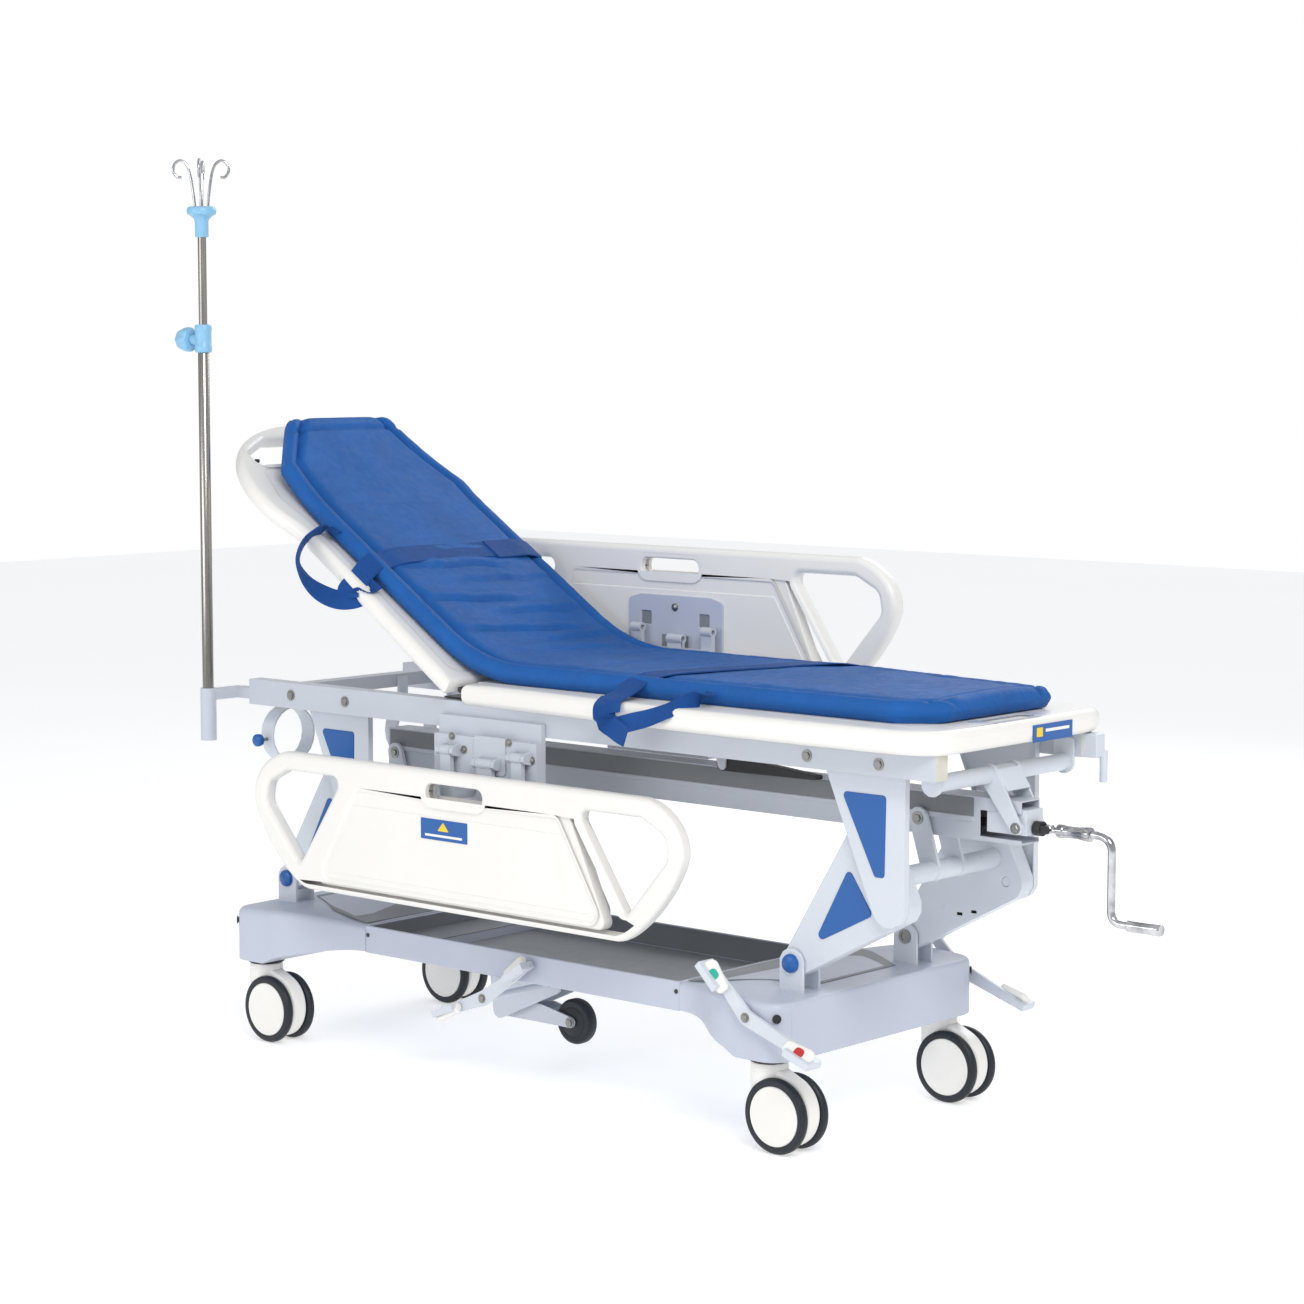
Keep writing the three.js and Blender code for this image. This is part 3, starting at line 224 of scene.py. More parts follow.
def finish_piece(piece, look, body, smooth=35, replaces=()):
    """Smooth shading, material and body for a new piece; the CAD nodes it replaces are hidden."""
    mesh = piece.data
    bm = bmesh.new()
    bm.from_mesh(mesh)
    bmesh.ops.remove_doubles(bm, verts=bm.verts, dist=1e-6)
    bmesh.ops.recalc_face_normals(bm, faces=bm.faces)
    bm.to_mesh(mesh)
    bm.free()
    for polygon in mesh.polygons:
        polygon.use_smooth = True
    mesh.set_sharp_from_angle(angle=radians(smooth))
    mesh.materials.clear()
    mesh.materials.append(MATERIALS[look])
    if body:
        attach(piece, body)
    if replaces:
        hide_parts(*replaces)
    return piece


def add_object(name, data):
    made = bpy.data.objects.new(name, data)
    bpy.context.scene.collection.objects.link(made)
    return made


def new_piece(name, vertices, faces, look, body=None, **options):
    mesh = bpy.data.meshes.new(name)
    mesh.from_pydata([tuple(v) for v in vertices], [], faces)
    return finish_piece(add_object(name, mesh), look, body, **options)


def joined(name, parts, body=None, replaces=()):
    """Several finished pieces as one."""
    with bpy.context.temp_override(active_object=parts[0], selected_editable_objects=parts):
        bpy.ops.object.join()
    parts[0].name = name
    if body:
        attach(parts[0], body)
    if replaces:
        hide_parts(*replaces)
    return parts[0]


def weight_normals(piece):
    modifier = piece.modifiers.new("even_normals", "WEIGHTED_NORMAL")
    modifier.keep_sharp = True
    return piece


def refine(node, look, bevel=1.2, segments=2):
    """A CAD node with its edges rounded."""
    source = NODES[node]
    mesh = source.data.copy()
    bm = bmesh.new()
    bm.from_mesh(mesh)
    bmesh.ops.remove_doubles(bm, verts=bm.verts, dist=1e-6)
    bmesh.ops.dissolve_limit(bm, angle_limit=radians(1), verts=bm.verts, edges=bm.edges)
    bm.to_mesh(mesh)
    bm.free()
    piece = add_object(f"{node}_finish", mesh)
    finish_piece(piece, look, source["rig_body"], replaces=[node])
    if bevel:
        modifier = piece.modifiers.new("edges", "BEVEL")
        modifier.width = bevel * MM
        modifier.segments = segments
        modifier.limit_method = "ANGLE"
        modifier.angle_limit = radians(40)
        modifier.use_clamp_overlap = True
    return weight_normals(piece)


def outline(start, *steps, count=10):
    """A path of lines (2 numbers), quadratic (4) and cubic (6) curves, as points."""
    points = [start]
    for step in steps:
        here = points[-1]
        if len(step) == 2:
            points.append(step)
            continue
        controls = [here] + [step[i:i + 2] for i in range(0, len(step), 2)]
        for k in range(1, count + 1):
            t, layer = k / count, controls
            while len(layer) > 1:
                layer = [tuple((1 - t) * a + t * b for a, b in zip(p, q)) for p, q in zip(layer, layer[1:])]
            points.append(layer[0])
    return points


def rounded(corners, radius, count=6):
    """A polygon with its corners rounded; radius is one number or one for each corner."""
    total = len(corners)
    radii = [radius] * total if isinstance(radius, (int, float)) else radius
    points = []
    for i, corner in enumerate(corners):
        here = Vector(corner)
        before = (Vector(corners[i - 1]) - here).normalized()
        after = (Vector(corners[(i + 1) % total]) - here).normalized()
        half = before.angle(after) / 2
        reach = radii[i] / tan(half)
        middle = here + (before + after).normalized() * radii[i] / sin(half)
        first, last = here + before * reach - middle, here + after * reach - middle
        turn = first.angle_signed(last) if radii[i] else 0
        for k in range(count + 1):
            a = -turn * k / count
            points.append((middle.x + first.x * cos(a) - first.y * sin(a),
                           middle.y + first.x * sin(a) + first.y * cos(a)))
    return points


def plate(name, loops, thickness, bevel, to_world, look, body=None, smooth=35, replaces=(), steps=4):
    """A plate with rounded edges from an outline and its holes, drawn in millimetres."""
    curve = bpy.data.curves.new(name, "CURVE")
    curve.dimensions = "2D"
    curve.fill_mode = "BOTH"
    curve.extrude = max(0, thickness / 2 - bevel)
    curve.bevel_depth = bevel
    curve.bevel_resolution = steps - 1
    curve.offset = -bevel
    for loop in loops:
        spline = curve.splines.new("POLY")
        spline.points.add(len(loop) - 1)
        for point, (u, v) in zip(spline.points, loop):
            point.co = (u, v, 0, 1)
        spline.use_cyclic_u = True
    shape = add_object(name + "_curve", curve)
    mesh = bpy.data.meshes.new_from_object(shape.evaluated_get(bpy.context.evaluated_depsgraph_get()))
    bpy.data.objects.remove(shape)
    for vertex in mesh.vertices:
        vertex.co = to_world(*vertex.co)
    piece = finish_piece(add_object(name, mesh), look, body, smooth=smooth, replaces=replaces)
    return weight_normals(piece)


def rectangle(x0, y0, x1, y1, radius):
    return rounded([(x0, y0), (x1, y0), (x1, y1), (x0, y1)], radius)


def level(height, end=1):
    """Puts a plate flat at a height, mirrored to the head end when end is -1."""
    return lambda u, v, w: at(end * u, v, height + w)


def lifted(place, lift):
    """A placing that is moved out along the plate's own normal."""
    return lambda u, v, w: place(u, v, w + lift)


def upright(distance, side):
    """Stands a plate along the trolley, at a distance to one side of its middle."""
    return lambda u, v, w: at(u, side * (distance + w), v)


def loft(name, sections, look, body=None, closed_ends=True, **options):
    """A skin over closed rings of points."""
    size = len(sections[0])
    faces = []
    for i in range(len(sections) - 1):
        for j in range(size):
            k = (j + 1) % size
            faces.append((i * size + j, i * size + k, (i + 1) * size + k, (i + 1) * size + j))
    if closed_ends:
        faces.append(tuple(range(size)))
        faces.append(tuple((len(sections) - 1) * size + j for j in range(size)))
    return new_piece(name, [p for ring in sections for p in ring], faces, look, body, **options)


def lathe(name, profile, origin, axis, look, body=None, segments=48, **options):
    """A turned piece: profile is (radius, height along the axis) in millimetres, from axis to axis."""
    turn = Vector((0, 0, 1)).rotation_difference(Vector(axis)).to_matrix()
    rings = []
    for radius, height in profile:
        ring = []
        for i in range(segments):
            a = 2 * pi * i / segments
            local = Vector((max(radius, 0.02) * cos(a), max(radius, 0.02) * sin(a), height))
            ring.append(origin + turn @ local * MM)
        rings.append(ring)
    return loft(name, rings, look, body, **options)


def smooth_path(points, per_span=6):
    """A Catmull-Rom line through the points."""
    points = [Vector(p) for p in points]
    ends = [points[0] * 2 - points[1]] + points + [points[-1] * 2 - points[-2]]
    line = []
    for a, b, c, d in zip(ends, ends[1:], ends[2:], ends[3:]):
        for k in range(per_span):
            t = k / per_span
            line.append(0.5 * (2 * b + (c - a) * t + (2 * a - 5 * b + 4 * c - d) * t * t
                               + (3 * b - a - 3 * c + d) * t ** 3))
    return line + [points[-1]]


def tube(name, points, radius, look, body=None, sides=16, per_span=6, taper=None, **options):
    """A round bar along a smooth line of build points."""
    line = smooth_path(points, per_span)
    rings = []
    normal = None
    for i, point in enumerate(line):
        along = (line[min(i + 1, len(line) - 1)] - line[max(i - 1, 0)]).normalized()
        if normal is None:
            normal = along.orthogonal().normalized()
        normal = (normal - along * normal.dot(along)).normalized()
        side = along.cross(normal)
        r = radius * (taper(i / (len(line) - 1)) if taper else 1)
        rings.append([at(*(point + (normal * cos(a) + side * sin(a)) * r))
                      for a in (2 * pi * k / sides for k in range(sides))])
    return loft(name, rings, look, body, **options)


def ribbon(name, points, widths, width, body, thickness=2.4, per_span=8):
    """A strap along a smooth line, with its width direction given at each point."""
    line = smooth_path(points, per_span)
    ways = smooth_path(widths, per_span)
    vertices, faces, run = [], [], [0.0]
    for i, point in enumerate(line):
        along = (line[min(i + 1, len(line) - 1)] - line[max(i - 1, 0)]).normalized()
        way = ways[i] - along * ways[i].dot(along)
        way.normalize()
        up = along.cross(way).normalized()
        if i:
            run.append(run[-1] + (point - line[i - 1]).length)
        for across, lift in ((-1, -1), (-0.94, 1), (0.94, 1), (1, -1)):
            vertices.append(at(*(point + way * across * width / 2 + up * lift * thickness / 2)))
    for i in range(len(line) - 1):
        for j in range(4):
            k = (j + 1) % 4
            faces.append((i * 4 + j, i * 4 + k, i * 4 + 4 + k, i * 4 + 4 + j))
    faces += [(0, 1, 2, 3), tuple(len(vertices) - 4 + j for j in range(4))]
    piece = new_piece(name, vertices, faces, "webbing", body, smooth=50)
    layer = piece.data.uv_layers.new(name="UVMap")
    across_of = (0.0, 0.02, 0.98, 1.0)
    for corner in piece.data.loops:
        i, j = divmod(corner.vertex_index, 4)
        layer.data[corner.index].uv = (across_of[j] * width / 50, run[i] / 50)
    return piece


def bolts(name, places, body, radius=7, height=4.5, washer=10):
    """Hexagon bolts with washers: places are (build point, outward axis)."""
    parts = []
    for point, axis in places:
        base = at(*point)
        parts.append(lathe("washer", [(0, 0), (washer, 0), (washer, 1.4), (radius, 1.6), (0, 1.6)], base,
                           axis, "zinc", segments=24))
        parts.append(lathe("head", [(0, 1), (radius, 1), (radius, height - 1), (radius - 1.2, height),
                                    (0, height)], base, axis, "zinc", segments=6, smooth=20))
    return joined(name, parts, body)


# ---- Base ----

COVER_X0, COVER_X1 = 460, 796
COVER_HALF, COVER_TOP, COVER_LOW = 330, 303, 181
COVER_CORNER = 44
COVER_SIDE_CURVE = outline((460, 230), (560, 230, 590, 330, 680, 330), count=40)
COVER_TOP_CURVE = outline((460, 283), (540, 283, 570, 303, 640, 303), count=40)


def read_curve(curve, x):
    """A curve's second coordinate where its first one is x."""
    for (x0, value0), (x1, value1) in zip(curve, curve[1:]):
        if x <= x1 + 1e-6:
            return value0 + (value1 - value0) * max(0, (x - x0)) / (x1 - x0)
    return curve[-1][1]


def cover_half_width(x):
    """Half the width of an end moulding at a distance from the middle."""
    if x <= COVER_SIDE_CURVE[-1][0]:
        return read_curve(COVER_SIDE_CURVE, x)
    inward = max(0, x - (COVER_X1 - COVER_CORNER))
    return COVER_HALF - COVER_CORNER + sqrt(max(0, COVER_CORNER ** 2 - inward ** 2))


def cover_top(x):
    """Height of an end moulding's top: a ramp up from the tray, then a slight fall to the end."""
    if x <= COVER_TOP_CURVE[-1][0]:
        return read_curve(COVER_TOP_CURVE, x)
    return COVER_TOP - 7 * max(0, (x - 640) / 156) ** 1.6


def cover_low(x):
    """Height of the skirt's lower edge, which drops towards the end."""
    if x < 660:
        return 224 - 28 * ((x - COVER_X0) / 200) ** 2
    return max(COVER_LOW, 196 - (x - 660) / 2)


def cover_section(x, end, shrink=0.0):
    """A ring round an end moulding: rounded shoulders above, and a straight skirt."""
    half, top, low = cover_half_width(x) - shrink, cover_top(x) - shrink, cover_low(x)
    radius = 15
    ring = [(half - 0.4, low), (half, low + 3)]
    for k in range(7):
        a = pi / 2 * k / 6
        ring.append((half - radius + radius * cos(a), top - radius + radius * sin(a)))
    ring += [(half * f, top + 1.2 * (1 - f * f)) for f in (0.7, 0.35)]
    ring += [(0, top + 1.2)]
    full = ring + [(-y, z) for y, z in reversed(ring[:-1])]
    return [at(end * x, y, z) for y, z in full]


def end_moulding(name, end):
    stations = [460.4 + 4 * i for i in range(56)] + [686 + 6 * i for i in range(12)]
    stations += [754 + (COVER_X1 - 754) * sin(pi / 2 * k / 9) for k in range(10)]
    rings = [cover_section(x, end) for x in stations]
    for k in range(1, 5):
        a = pi / 2 * k / 4
        rings.append(cover_section(COVER_X1, end, shrink=9 * (1 - cos(a))))
        shift = at(end * (COVER_X1 + 3 * sin(a)), 0, 0) - at(end * COVER_X1, 0, 0)
        rings[-1] = [p + shift for p in rings[-1]]
    loft(f"{name}_shell", rings, "grey_moulding", "base", smooth=40, replaces=[name])


for end_name, end in ENDS.items():
    end_moulding(f"base_cover_{end_name}", end)
    holes = []
    for side in SIDES.values():
        holes.append(lathe("hole", [(0, 0), (9, 0), (9, 1.2), (6.5, 1.6), (6.5, -3), (0, -3)],
                           at(end * 786, side * 318, 268), (end * 0.75, side * 0.66, 0), "black_plastic",
                           segments=24))
        holes.append(lathe("screw", [(0, 0), (5, 0), (4.4, 1.6), (0, 2.2)], at(end * 452, side * 230.2, 262),
                           (0, side, 0), "black_metal", segments=16))
        lathe(f"post_seal_{end_name}_{side}", [(0, 0), (41, 0), (41, 5), (0, 5)],
              at(end * 736, side * 278, 175.5), (0, 0, 1), "black_plastic", "base", segments=40)
    joined(f"base_fasteners_{end_name}", holes, "base")

refine("base_frame", "white_steel", 1.5)
refine("storage_tray", "grey_moulding", 2.5, 3)
# Painted shade inside the tray: a dark grey floor plate and dark grey plates on the inner walls.
dark_grey_and_tray_shade = rectangle(-448, -220, 448, 220, 12)
plate("dark_grey_and_tray_shade", [dark_grey_and_tray_shade], 1.6, 0.6, level(229), "dark_grey_and_tray_shade", "base")
wall_shade = []
for side in SIDES.values():
    wall_shade.append(plate("wall_shade", [rectangle(-452, 231, 452, 281, 2)], 1.2, 0.3,
                       upright(223.2, side), "dark_grey_and_tray_shade"))
for end in ENDS.values():
    wall_shade.append(plate("wall_shade", [rectangle(-222, 231, 222, 281, 2)], 1.2, 0.3,
                       lambda u, v, w, end=end: at(end * (453.2 + w), u, v), "dark_grey_and_tray_shade"))
joined("tray_wall_shade", wall_shade, "base")
for end_name, end in ENDS.items():
    half = [(470 + 9 * i, min(214, 300 - 0.6 * (9 * i + 30))) for i in range(31)]
    mat = [(x, min(y, 150)) if x > 690 else (x, y) for x, y in half]
    corners = mat + [(x, -y) for x, y in reversed(mat)]
    plate(f"base_mat_{end_name}", [corners], 1.6, 0.5,
          lambda u, v, w, end=end: at(end * u, v, cover_top(u) + 1.9 + w), "dark_grey_and_tray_shade", "base")
# Painted shade: dark grey steps at the tray's ends.
for end in ENDS.values():
    step = rectangle(346, -218, 453, 218, 10)
    plate(f"tray_step_{'foot' if end > 0 else 'head'}", [step], 2.0, 0.8,
          level(249.2, end), "dark_grey_and_tray_shade", "base")


# ---- Casters ----

def caster(end_name, side_name):
    end, side = ENDS[end_name], SIDES[side_name]
    corner = f"{end_name}_{side_name}"
    x, y = end * CASTER["x"], side * CASTER["y"]
    body = f"caster_{corner}"
    trail, drum_r, neck_r = CASTER["trail"], CASTER["drum"], CASTER["neck"]
    hood = [(trail + drum_r * cos(radians(a)), 80 + drum_r * sin(radians(a))) for a in range(-165, 69, 5)]
    hood += [(30, 163), (20, 165), (-22, 165), (-32, 160), (-36, 148), (-36, 116)]
    drum = plate("drum", [hood], 40, 9, lambda u, v, w: at(x + u, y + w, v), "white_plastic")
    column = []
    for z in (104, 118, 130, 142, 152, 160, 166, 170, 172, 172.4):
        grow = max(0, (130 - z) / 26)
        squeeze = 1 if z < 165 else 1 - 0.04 * ((z - 165) / 7.4) ** 2
        ring = []
        for i in range(48):
            a = 2 * pi * i / 48
            ring.append(at(x + (neck_r * squeeze) * cos(a) + 6 * grow,
                           y + (neck_r * squeeze) * sin(a) * (1 - 0.42 * grow), z))
        column.append(ring)
    neck = loft("neck", column, "white_plastic")
    swivel = lathe("swivel", [(0, 172), (31, 172), (31, 178), (0, 178)], at(x, y, 0), (0, 0, 1),
                   "black_metal", segments=40)
    weight_normals(joined(f"{body}_body", [drum, neck], body, [f"caster_housing_{corner}"]))
    swivel.name = f"{body}_swivel"
    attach(swivel, body)
    hub = at(x + trail, y, CASTER["r"])
    for place, way in (("outer", side), ("inner", -side)):
        wheel_body = f"wheel_{place}_{corner}"
        face = hub + Vector((0, way * CASTER["gap"] / 2 * MM, 0))
        tread = [(0, 0.5), (62, 0.5), (69, 1.2), (73, 4), (75, 8), (75, 13), (73.6, 17), (70.5, 19.8),
                 (66, 20.7), (60, 20.4), (59, 17), (0, 17)]
        tyre = lathe(f"{wheel_body}_tyre", tread, face, (0, way, 0), "tyre", wheel_body, segments=96,
                     replaces=[f"caster_wheel_{place}_{corner}"])
        weight_normals(tyre)
        cover = [(0, 16), (59, 16), (59.2, 19.4), (57.5, 20.8), (54, 20.9), (51, 19.6), (40, 20.2), (20, 20.8),
                 (0, 21)]
        weight_normals(lathe(f"{wheel_body}_hub", cover, face, (0, way, 0), "white_plastic", wheel_body,
                             segments=72))


for end_name in ENDS:
    for side_name in SIDES:
        caster(end_name, side_name)


# ---- Fifth wheel and pedals ----

refine("fifth_wheel_arm", "white_steel", 1.2)
FIFTH = at(-36, -15, 92)
lathe("fifth_wheel_tyre", [(0, 0), (30, 0), (33, 2), (38, 1), (44, 0.5), (48, 3), (50, 8), (50, 22), (48, 27),
                           (44, 29.5), (38, 29), (33, 28), (30, 30), (0, 30)],
      FIFTH, (0, 1, 0), "tyre", "fifth_wheel", segments=72, replaces=["fifth_wheel"])
bolts("fifth_wheel_bolts", [((-36, -23, 92), (0, -1, 0)), ((-232, -36, 95), (0, -1, 0)),
                            ((-36, 23, 92), (0, 1, 0)), ((-232, 36, 95), (0, 1, 0))], "fifth_wheel_arm",
      radius=8, washer=12)


def pedal(name, body, pivot, ends, side, pad_y, node):
    """A foot lever with a moulded pad at each end, facing outward and up, with coloured marks."""
    refine(node, "white_steel", 1.5)
    for index, (x, z, colour) in enumerate(ends):
        along = Vector((x - pivot[0], 0, z - pivot[1])).normalized()
        facing = Vector((0, side * 0.75, 0.66))
        facing = (facing - along * facing.dot(along)).normalized()
        across = facing.cross(along)

        def place(u, v, w, x=x, z=z, along=along, across=across, facing=facing):
            return at(*(Vector((x, side * pad_y, z)) + along * u + across * v + facing * w))

        pad = rounded([(-34, -12), (36, -20), (36, 20), (-34, 12)], [8, 14, 14, 8])
        plate(f"{name}_pad_{index}", [pad], 15, 5.5, place, "white_plastic", body)
        if colour:
            mark = rectangle(-6, -9.5, 16, 9.5, 8)
            plate(f"{name}_mark_{index}", [mark], 3, 1.2, lifted(place, 7.6), colour, body)


for side_name, side in SIDES.items():
    pedal(f"brake_{side_name}", "brake_pedals", (729, 267),
          [(664, 340, "green_plastic"), (870, 221, "red_plastic")], side, 356.5, f"brake_pedal_{side_name}")
pedal("steering", "steering_pedal", (-81, 175), [(-170, 136, None), (26, 254, None)], -1, 259,
      "steering_pedal")
bolts("brake_bolts", [((729, -345.2, 267), (0, -1, 0)), ((729, 345.2, 267), (0, 1, 0))], "brake_pedals")
bolts("steering_bolt", [((-81, -248.2, 175), (0, -1, 0))], "steering_pedal")


# ---- Lift ----

def inset(name, corners, radius, y, side, body):
    """A blue moulded panel set in a steel plate."""
    shape = rounded(corners, radius)
    plate(name, [shape], 5, 1.6, upright(y, side), "blue_plastic", body)


def end_x(end):
    return FOOT_ARM[0] if end > 0 else FOOT_ARM[0] - END_PITCH


for end_name, end in ENDS.items():
    x, z = end_x(end), FOOT_ARM[1]
    for side_name, side in SIDES.items():
        refine(f"{end_name}_arm_{side_name}", "white_steel", 2)
        refine(f"{end_name}_leg_{side_name}", "white_steel", 2)
        inset(f"{end_name}_arm_inset_{side_name}", [(x + 50, z + 44), (x + 195, z + 117), (x + 136, z + 204)],
              [9, 9, 9], 205, side, f"{end_name}_arm")
        inset(f"{end_name}_leg_inset_{side_name}",
              [(x + 211, z + 196), (x + 234, z + 196), (x + 237, z + 355), (x + 130, z + 355)], [7, 7, 8, 8],
              221.2, side, "top_frame")
        lathe(f"{end_name}_pivot_cap_{side_name}", [(0, 0), (19, 0), (19, 4), (17.5, 8), (12, 11), (0, 12)],
              at(x, side * 213, z), (0, side, 0), "blue_plastic", "base", segments=40)
        lathe(f"{end_name}_inner_bush_{side_name}", [(0, 0), (15, 0), (15, 3), (9, 3), (9, 1), (0, 1)],
              at(x, side * 157.3, z), (0, -side, 0), "zinc", "base", segments=32)
    refine(f"{end_name}_arm_tube", "white_steel", 1.2)
    bolts(f"{end_name}_beam_bolts", [((x + ARM_APEX[0], s * 44.2, z + ARM_APEX[1]), (0, s, 0))
                                     for s in (-1, 1)], f"{end_name}_arm", radius=8, washer=13)
    bolts(f"{end_name}_apex_bolts", [((x + ARM_APEX[0], s * 164.6, z + ARM_APEX[1]), (0, -s, 0))
                                     for s in (-1, 1)], f"{end_name}_arm", radius=8, washer=13)
refine("tie_beam", "frame_steel", 2)
# Painted shade: dark grey strips along the upper part of the tie beam's sides, where the deck shades them,
# with a steel lip below them.
strips = []
for side in SIDES.values():
    strips.append(plate("strip", [rectangle(-584, 655, 1040, 692, 3)], 1.4, 0.4,
                        upright(31.6, side), "painted_shade_grey"))
    strips.append(plate("lip", [rectangle(-584, 646, 1040, 656, 4)], 5, 2.2,
                        upright(31.6, side), "frame_steel"))
joined("tie_beam_painted_shade", strips[0::2], "tie_beam")
joined("tie_beam_lips", strips[1::2], "tie_beam")

# ---- Top frame ----

refine("top_frame", "frame_steel", 2)
for end_name, x0 in (("foot", 1108), ("head", -806)):
    for side_name, side in SIDES.items():
        cap = rectangle(222.6, 752.6, 257.4, 808.4, 5)
        plate(f"rail_cap_{end_name}_{side_name}", [cap], 10, 1.5,
              lambda u, v, w, x0=x0, side=side: at(x0 + 4 + w, side * u, v), "beige", "top_frame")
frame_bolts = []
for side in SIDES.values():
    for x, z in ((-665, 782), (-489, 781), (809, 776), (982, 775)):
        frame_bolts.append(((x, side * 258.2, z), (0, side, 0)))
bolts("rail_bolts", frame_bolts, "top_frame", radius=8.5, height=5, washer=12)
refine("crank_hanger", "white_steel", 2)
bolts("hanger_bolts", [((1144, s * 41.2, 644), (0, s, 0)) for s in (-1, 1)], "top_frame", radius=8, washer=11)
for side_name in SIDES:
    refine(f"bottle_ring_{side_name}", "white_steel", 1.2)
tube("bottle_ring_screw", [(-772, -236, 672), (-772, -262, 672)], 4, "zinc", "top_frame")
lathe("bottle_ring_knob", [(0, 0), (13, 0), (14, 3), (14, 12), (11, 15), (0, 15)], at(-772, -256, 672),
      (0, -1, 0), "blue_plastic", "top_frame", segments=24, smooth=50)
refine("gas_spring_cylinder", "black_metal", 1)
refine("gas_spring_rod", "chrome", 0.5)
refine("release_lever", "black_plastic", 3, 3)
lathe("release_lever_ferrule", [(0, 0), (14, 0), (14, 4), (12, 7), (0, 7)], at(422, -50, 704), (-1, 0, 0),
      "zinc", "release_lever", segments=32)

# ---- Crank ----

refine("crank_screw", "black_plastic", 0.8)
refine("drive_nut", "brass", 1)
handle = [(1288, 0, 642), (1304, 0, 642), (1318, 0, 639.5), (1329, 0, 632), (1334.4, 0, 620), (1335, 0, 600),
          (1335, 0, 556), (1335, 0, 515), (1335.4, 0, 499), (1339, 0, 488), (1348, 0, 481), (1360, 0, 479),
          (1374, 0, 479)]
shaft = tube("crank_shaft", handle, 8, "chrome", sides=24)
sleeve = lathe("crank_sleeve", [(0, 0), (11, 0), (13, 2), (13, 14), (11.5, 16), (11.5, 50), (12.5, 52),
                                (14, 70), (14, 74), (11, 76), (0, 76)], at(1214, 0, 642), (1, 0, 0),
               "chrome", segments=32)
eye = lathe("crank_eye", [(0, -6.4), (8, -6.4), (9, -5.4), (9, 5.4), (8, 6.4), (0, 6.4)], at(1192, 0, 642),
            (0, 1, 0), "chrome", segments=32)
neck = tube("crank_neck", [(1196, 0, 642), (1206, 0, 642), (1218, 0, 642)], 6.3, "chrome")
joined("crank_handle_finish", [shaft, sleeve, eye, neck], "crank_handle", ["crank_handle"])
lathe("crank_grip_finish", [(0, 0), (9.5, 0), (11.5, 2), (12, 8), (11.2, 34), (12, 64), (12, 70), (10.5, 74),
                            (0, 74.6)], at(1372.3, 0, 479), (1, 0, 0), "chrome", "crank_grip", segments=40,
      replaces=["crank_grip"])
lathe("crank_dust_cap", [(0, 0), (14, 0), (14.3, 2), (14.3, 14), (12.5, 16), (0, 16)], at(1162.5, 0, 642),
      (1, 0, 0), "black_plastic", "crank", segments=40)

# ---- Deck ----

DECK_PLAN = outline((-120, -266), (160, -272, 380, -310, 640, -312), (840, -312, 960, -310, 1050, -304),
                    (1112, -298, 1140, -270, 1140, -215), (1140, 215), (1140, 270, 1112, 298, 1050, 304),
                    (960, 310, 840, 312, 640, 312), (380, 310, 160, 272, -120, 266), count=12)
HANDHOLD = rectangle(1074, -78, 1110, 78, 16)
deck_loop = DECK_PLAN + [(-120, 0)]
plate("foot_deck_moulding", [deck_loop, HANDHOLD], 46, 17, level(824.6), "white_plastic", "top_frame",
      replaces=["foot_deck"], steps=7)
plate("foot_deck_top", [rounded([(-118, -222), (1040, -236), (1062, -200), (1062, 200), (1040, 236),
                                 (-118, 222)], 8)], 4, 1.8, level(846), "white_plastic", "top_frame")
plate("foot_deck_recess", [rectangle(1068, -110, 1116, 110, 20),
                           rectangle(1073, -78, 1111, 78, 16)],
      2.4, 1.0, level(847.4), "grey_moulding", "top_frame")

# ---- Backrest ----

BOARD = outline((-9, -288), (-200, -284, -340, -272, -470, -270), (-620, -266, -600, -300, -690, -300),
                (-800, -300, -886, -236, -922, -176), (-956, -124, -976, -60, -976, 0),
                (-976, 60, -956, 124, -922, 176), (-886, 236, -800, 300, -690, 300),
                (-600, 300, -620, 266, -470, 270), (-340, 272, -200, 284, -9, 288), count=12)
GRIP = rounded([(-922, -118), (-922, 118), (-872, 206), (-820, 206), (-820, -206), (-872, -206)],
               [26, 26, 22, 18, 18, 22])
RIM_HOLE = rounded([(-800, -205), (-800, 205), (-690, 238), (-600, 222), (-430, 222), (-50, 238), (-50, -238),
                    (-430, -222), (-600, -222), (-690, -238)], [20, 20, 40, 60, 60, 20, 20, 60, 60, 40])
board = [plate("rim", [BOARD, GRIP, RIM_HOLE], 37.5, 16, lifted(on_board, -13.4), "white_plastic", steps=7)]
web = rounded([(-812, -215), (-812, 215), (-690, 250), (-600, 236), (-430, 236), (-30, 250), (-30, -250),
               (-430, -236), (-600, -236), (-690, -250)], [20, 20, 40, 60, 60, 12, 12, 60, 60, 40])
board.append(plate("web", [web], 15, 2.5, lifted(on_board, -5.5), "white_plastic"))
for y in (-150, -50, 50, 150):
    rib = rectangle(-700, y - 22, -90, y + 22, 14)
    board.append(plate("rib", [rib], 16, 5, lifted(on_board, -17), "white_plastic"))
joined("backrest_moulding", board, "backrest", ["backrest_board"])
spring_lever = rounded([(-30, -2), (-14, 4), (14, -22), (16, -88), (-4, -90), (-12, -26)], [5, 5, 6, 8, 8, 6])
slot_hole = rounded([(-3, -42), (11, -42), (13, -78), (-1, -80)], 5)
plate("spring_lever", [spring_lever, slot_hole], 6, 0.8,
      lambda u, v, w: at(HINGE[0] + u, -29 + w, HINGE[1] + v), "black_metal", "backrest")
tube("backrest_hinge_rod", [(-128, -262, 834), (-128, 0, 834), (-128, 262, 834)], 7, "black_metal",
     "top_frame")
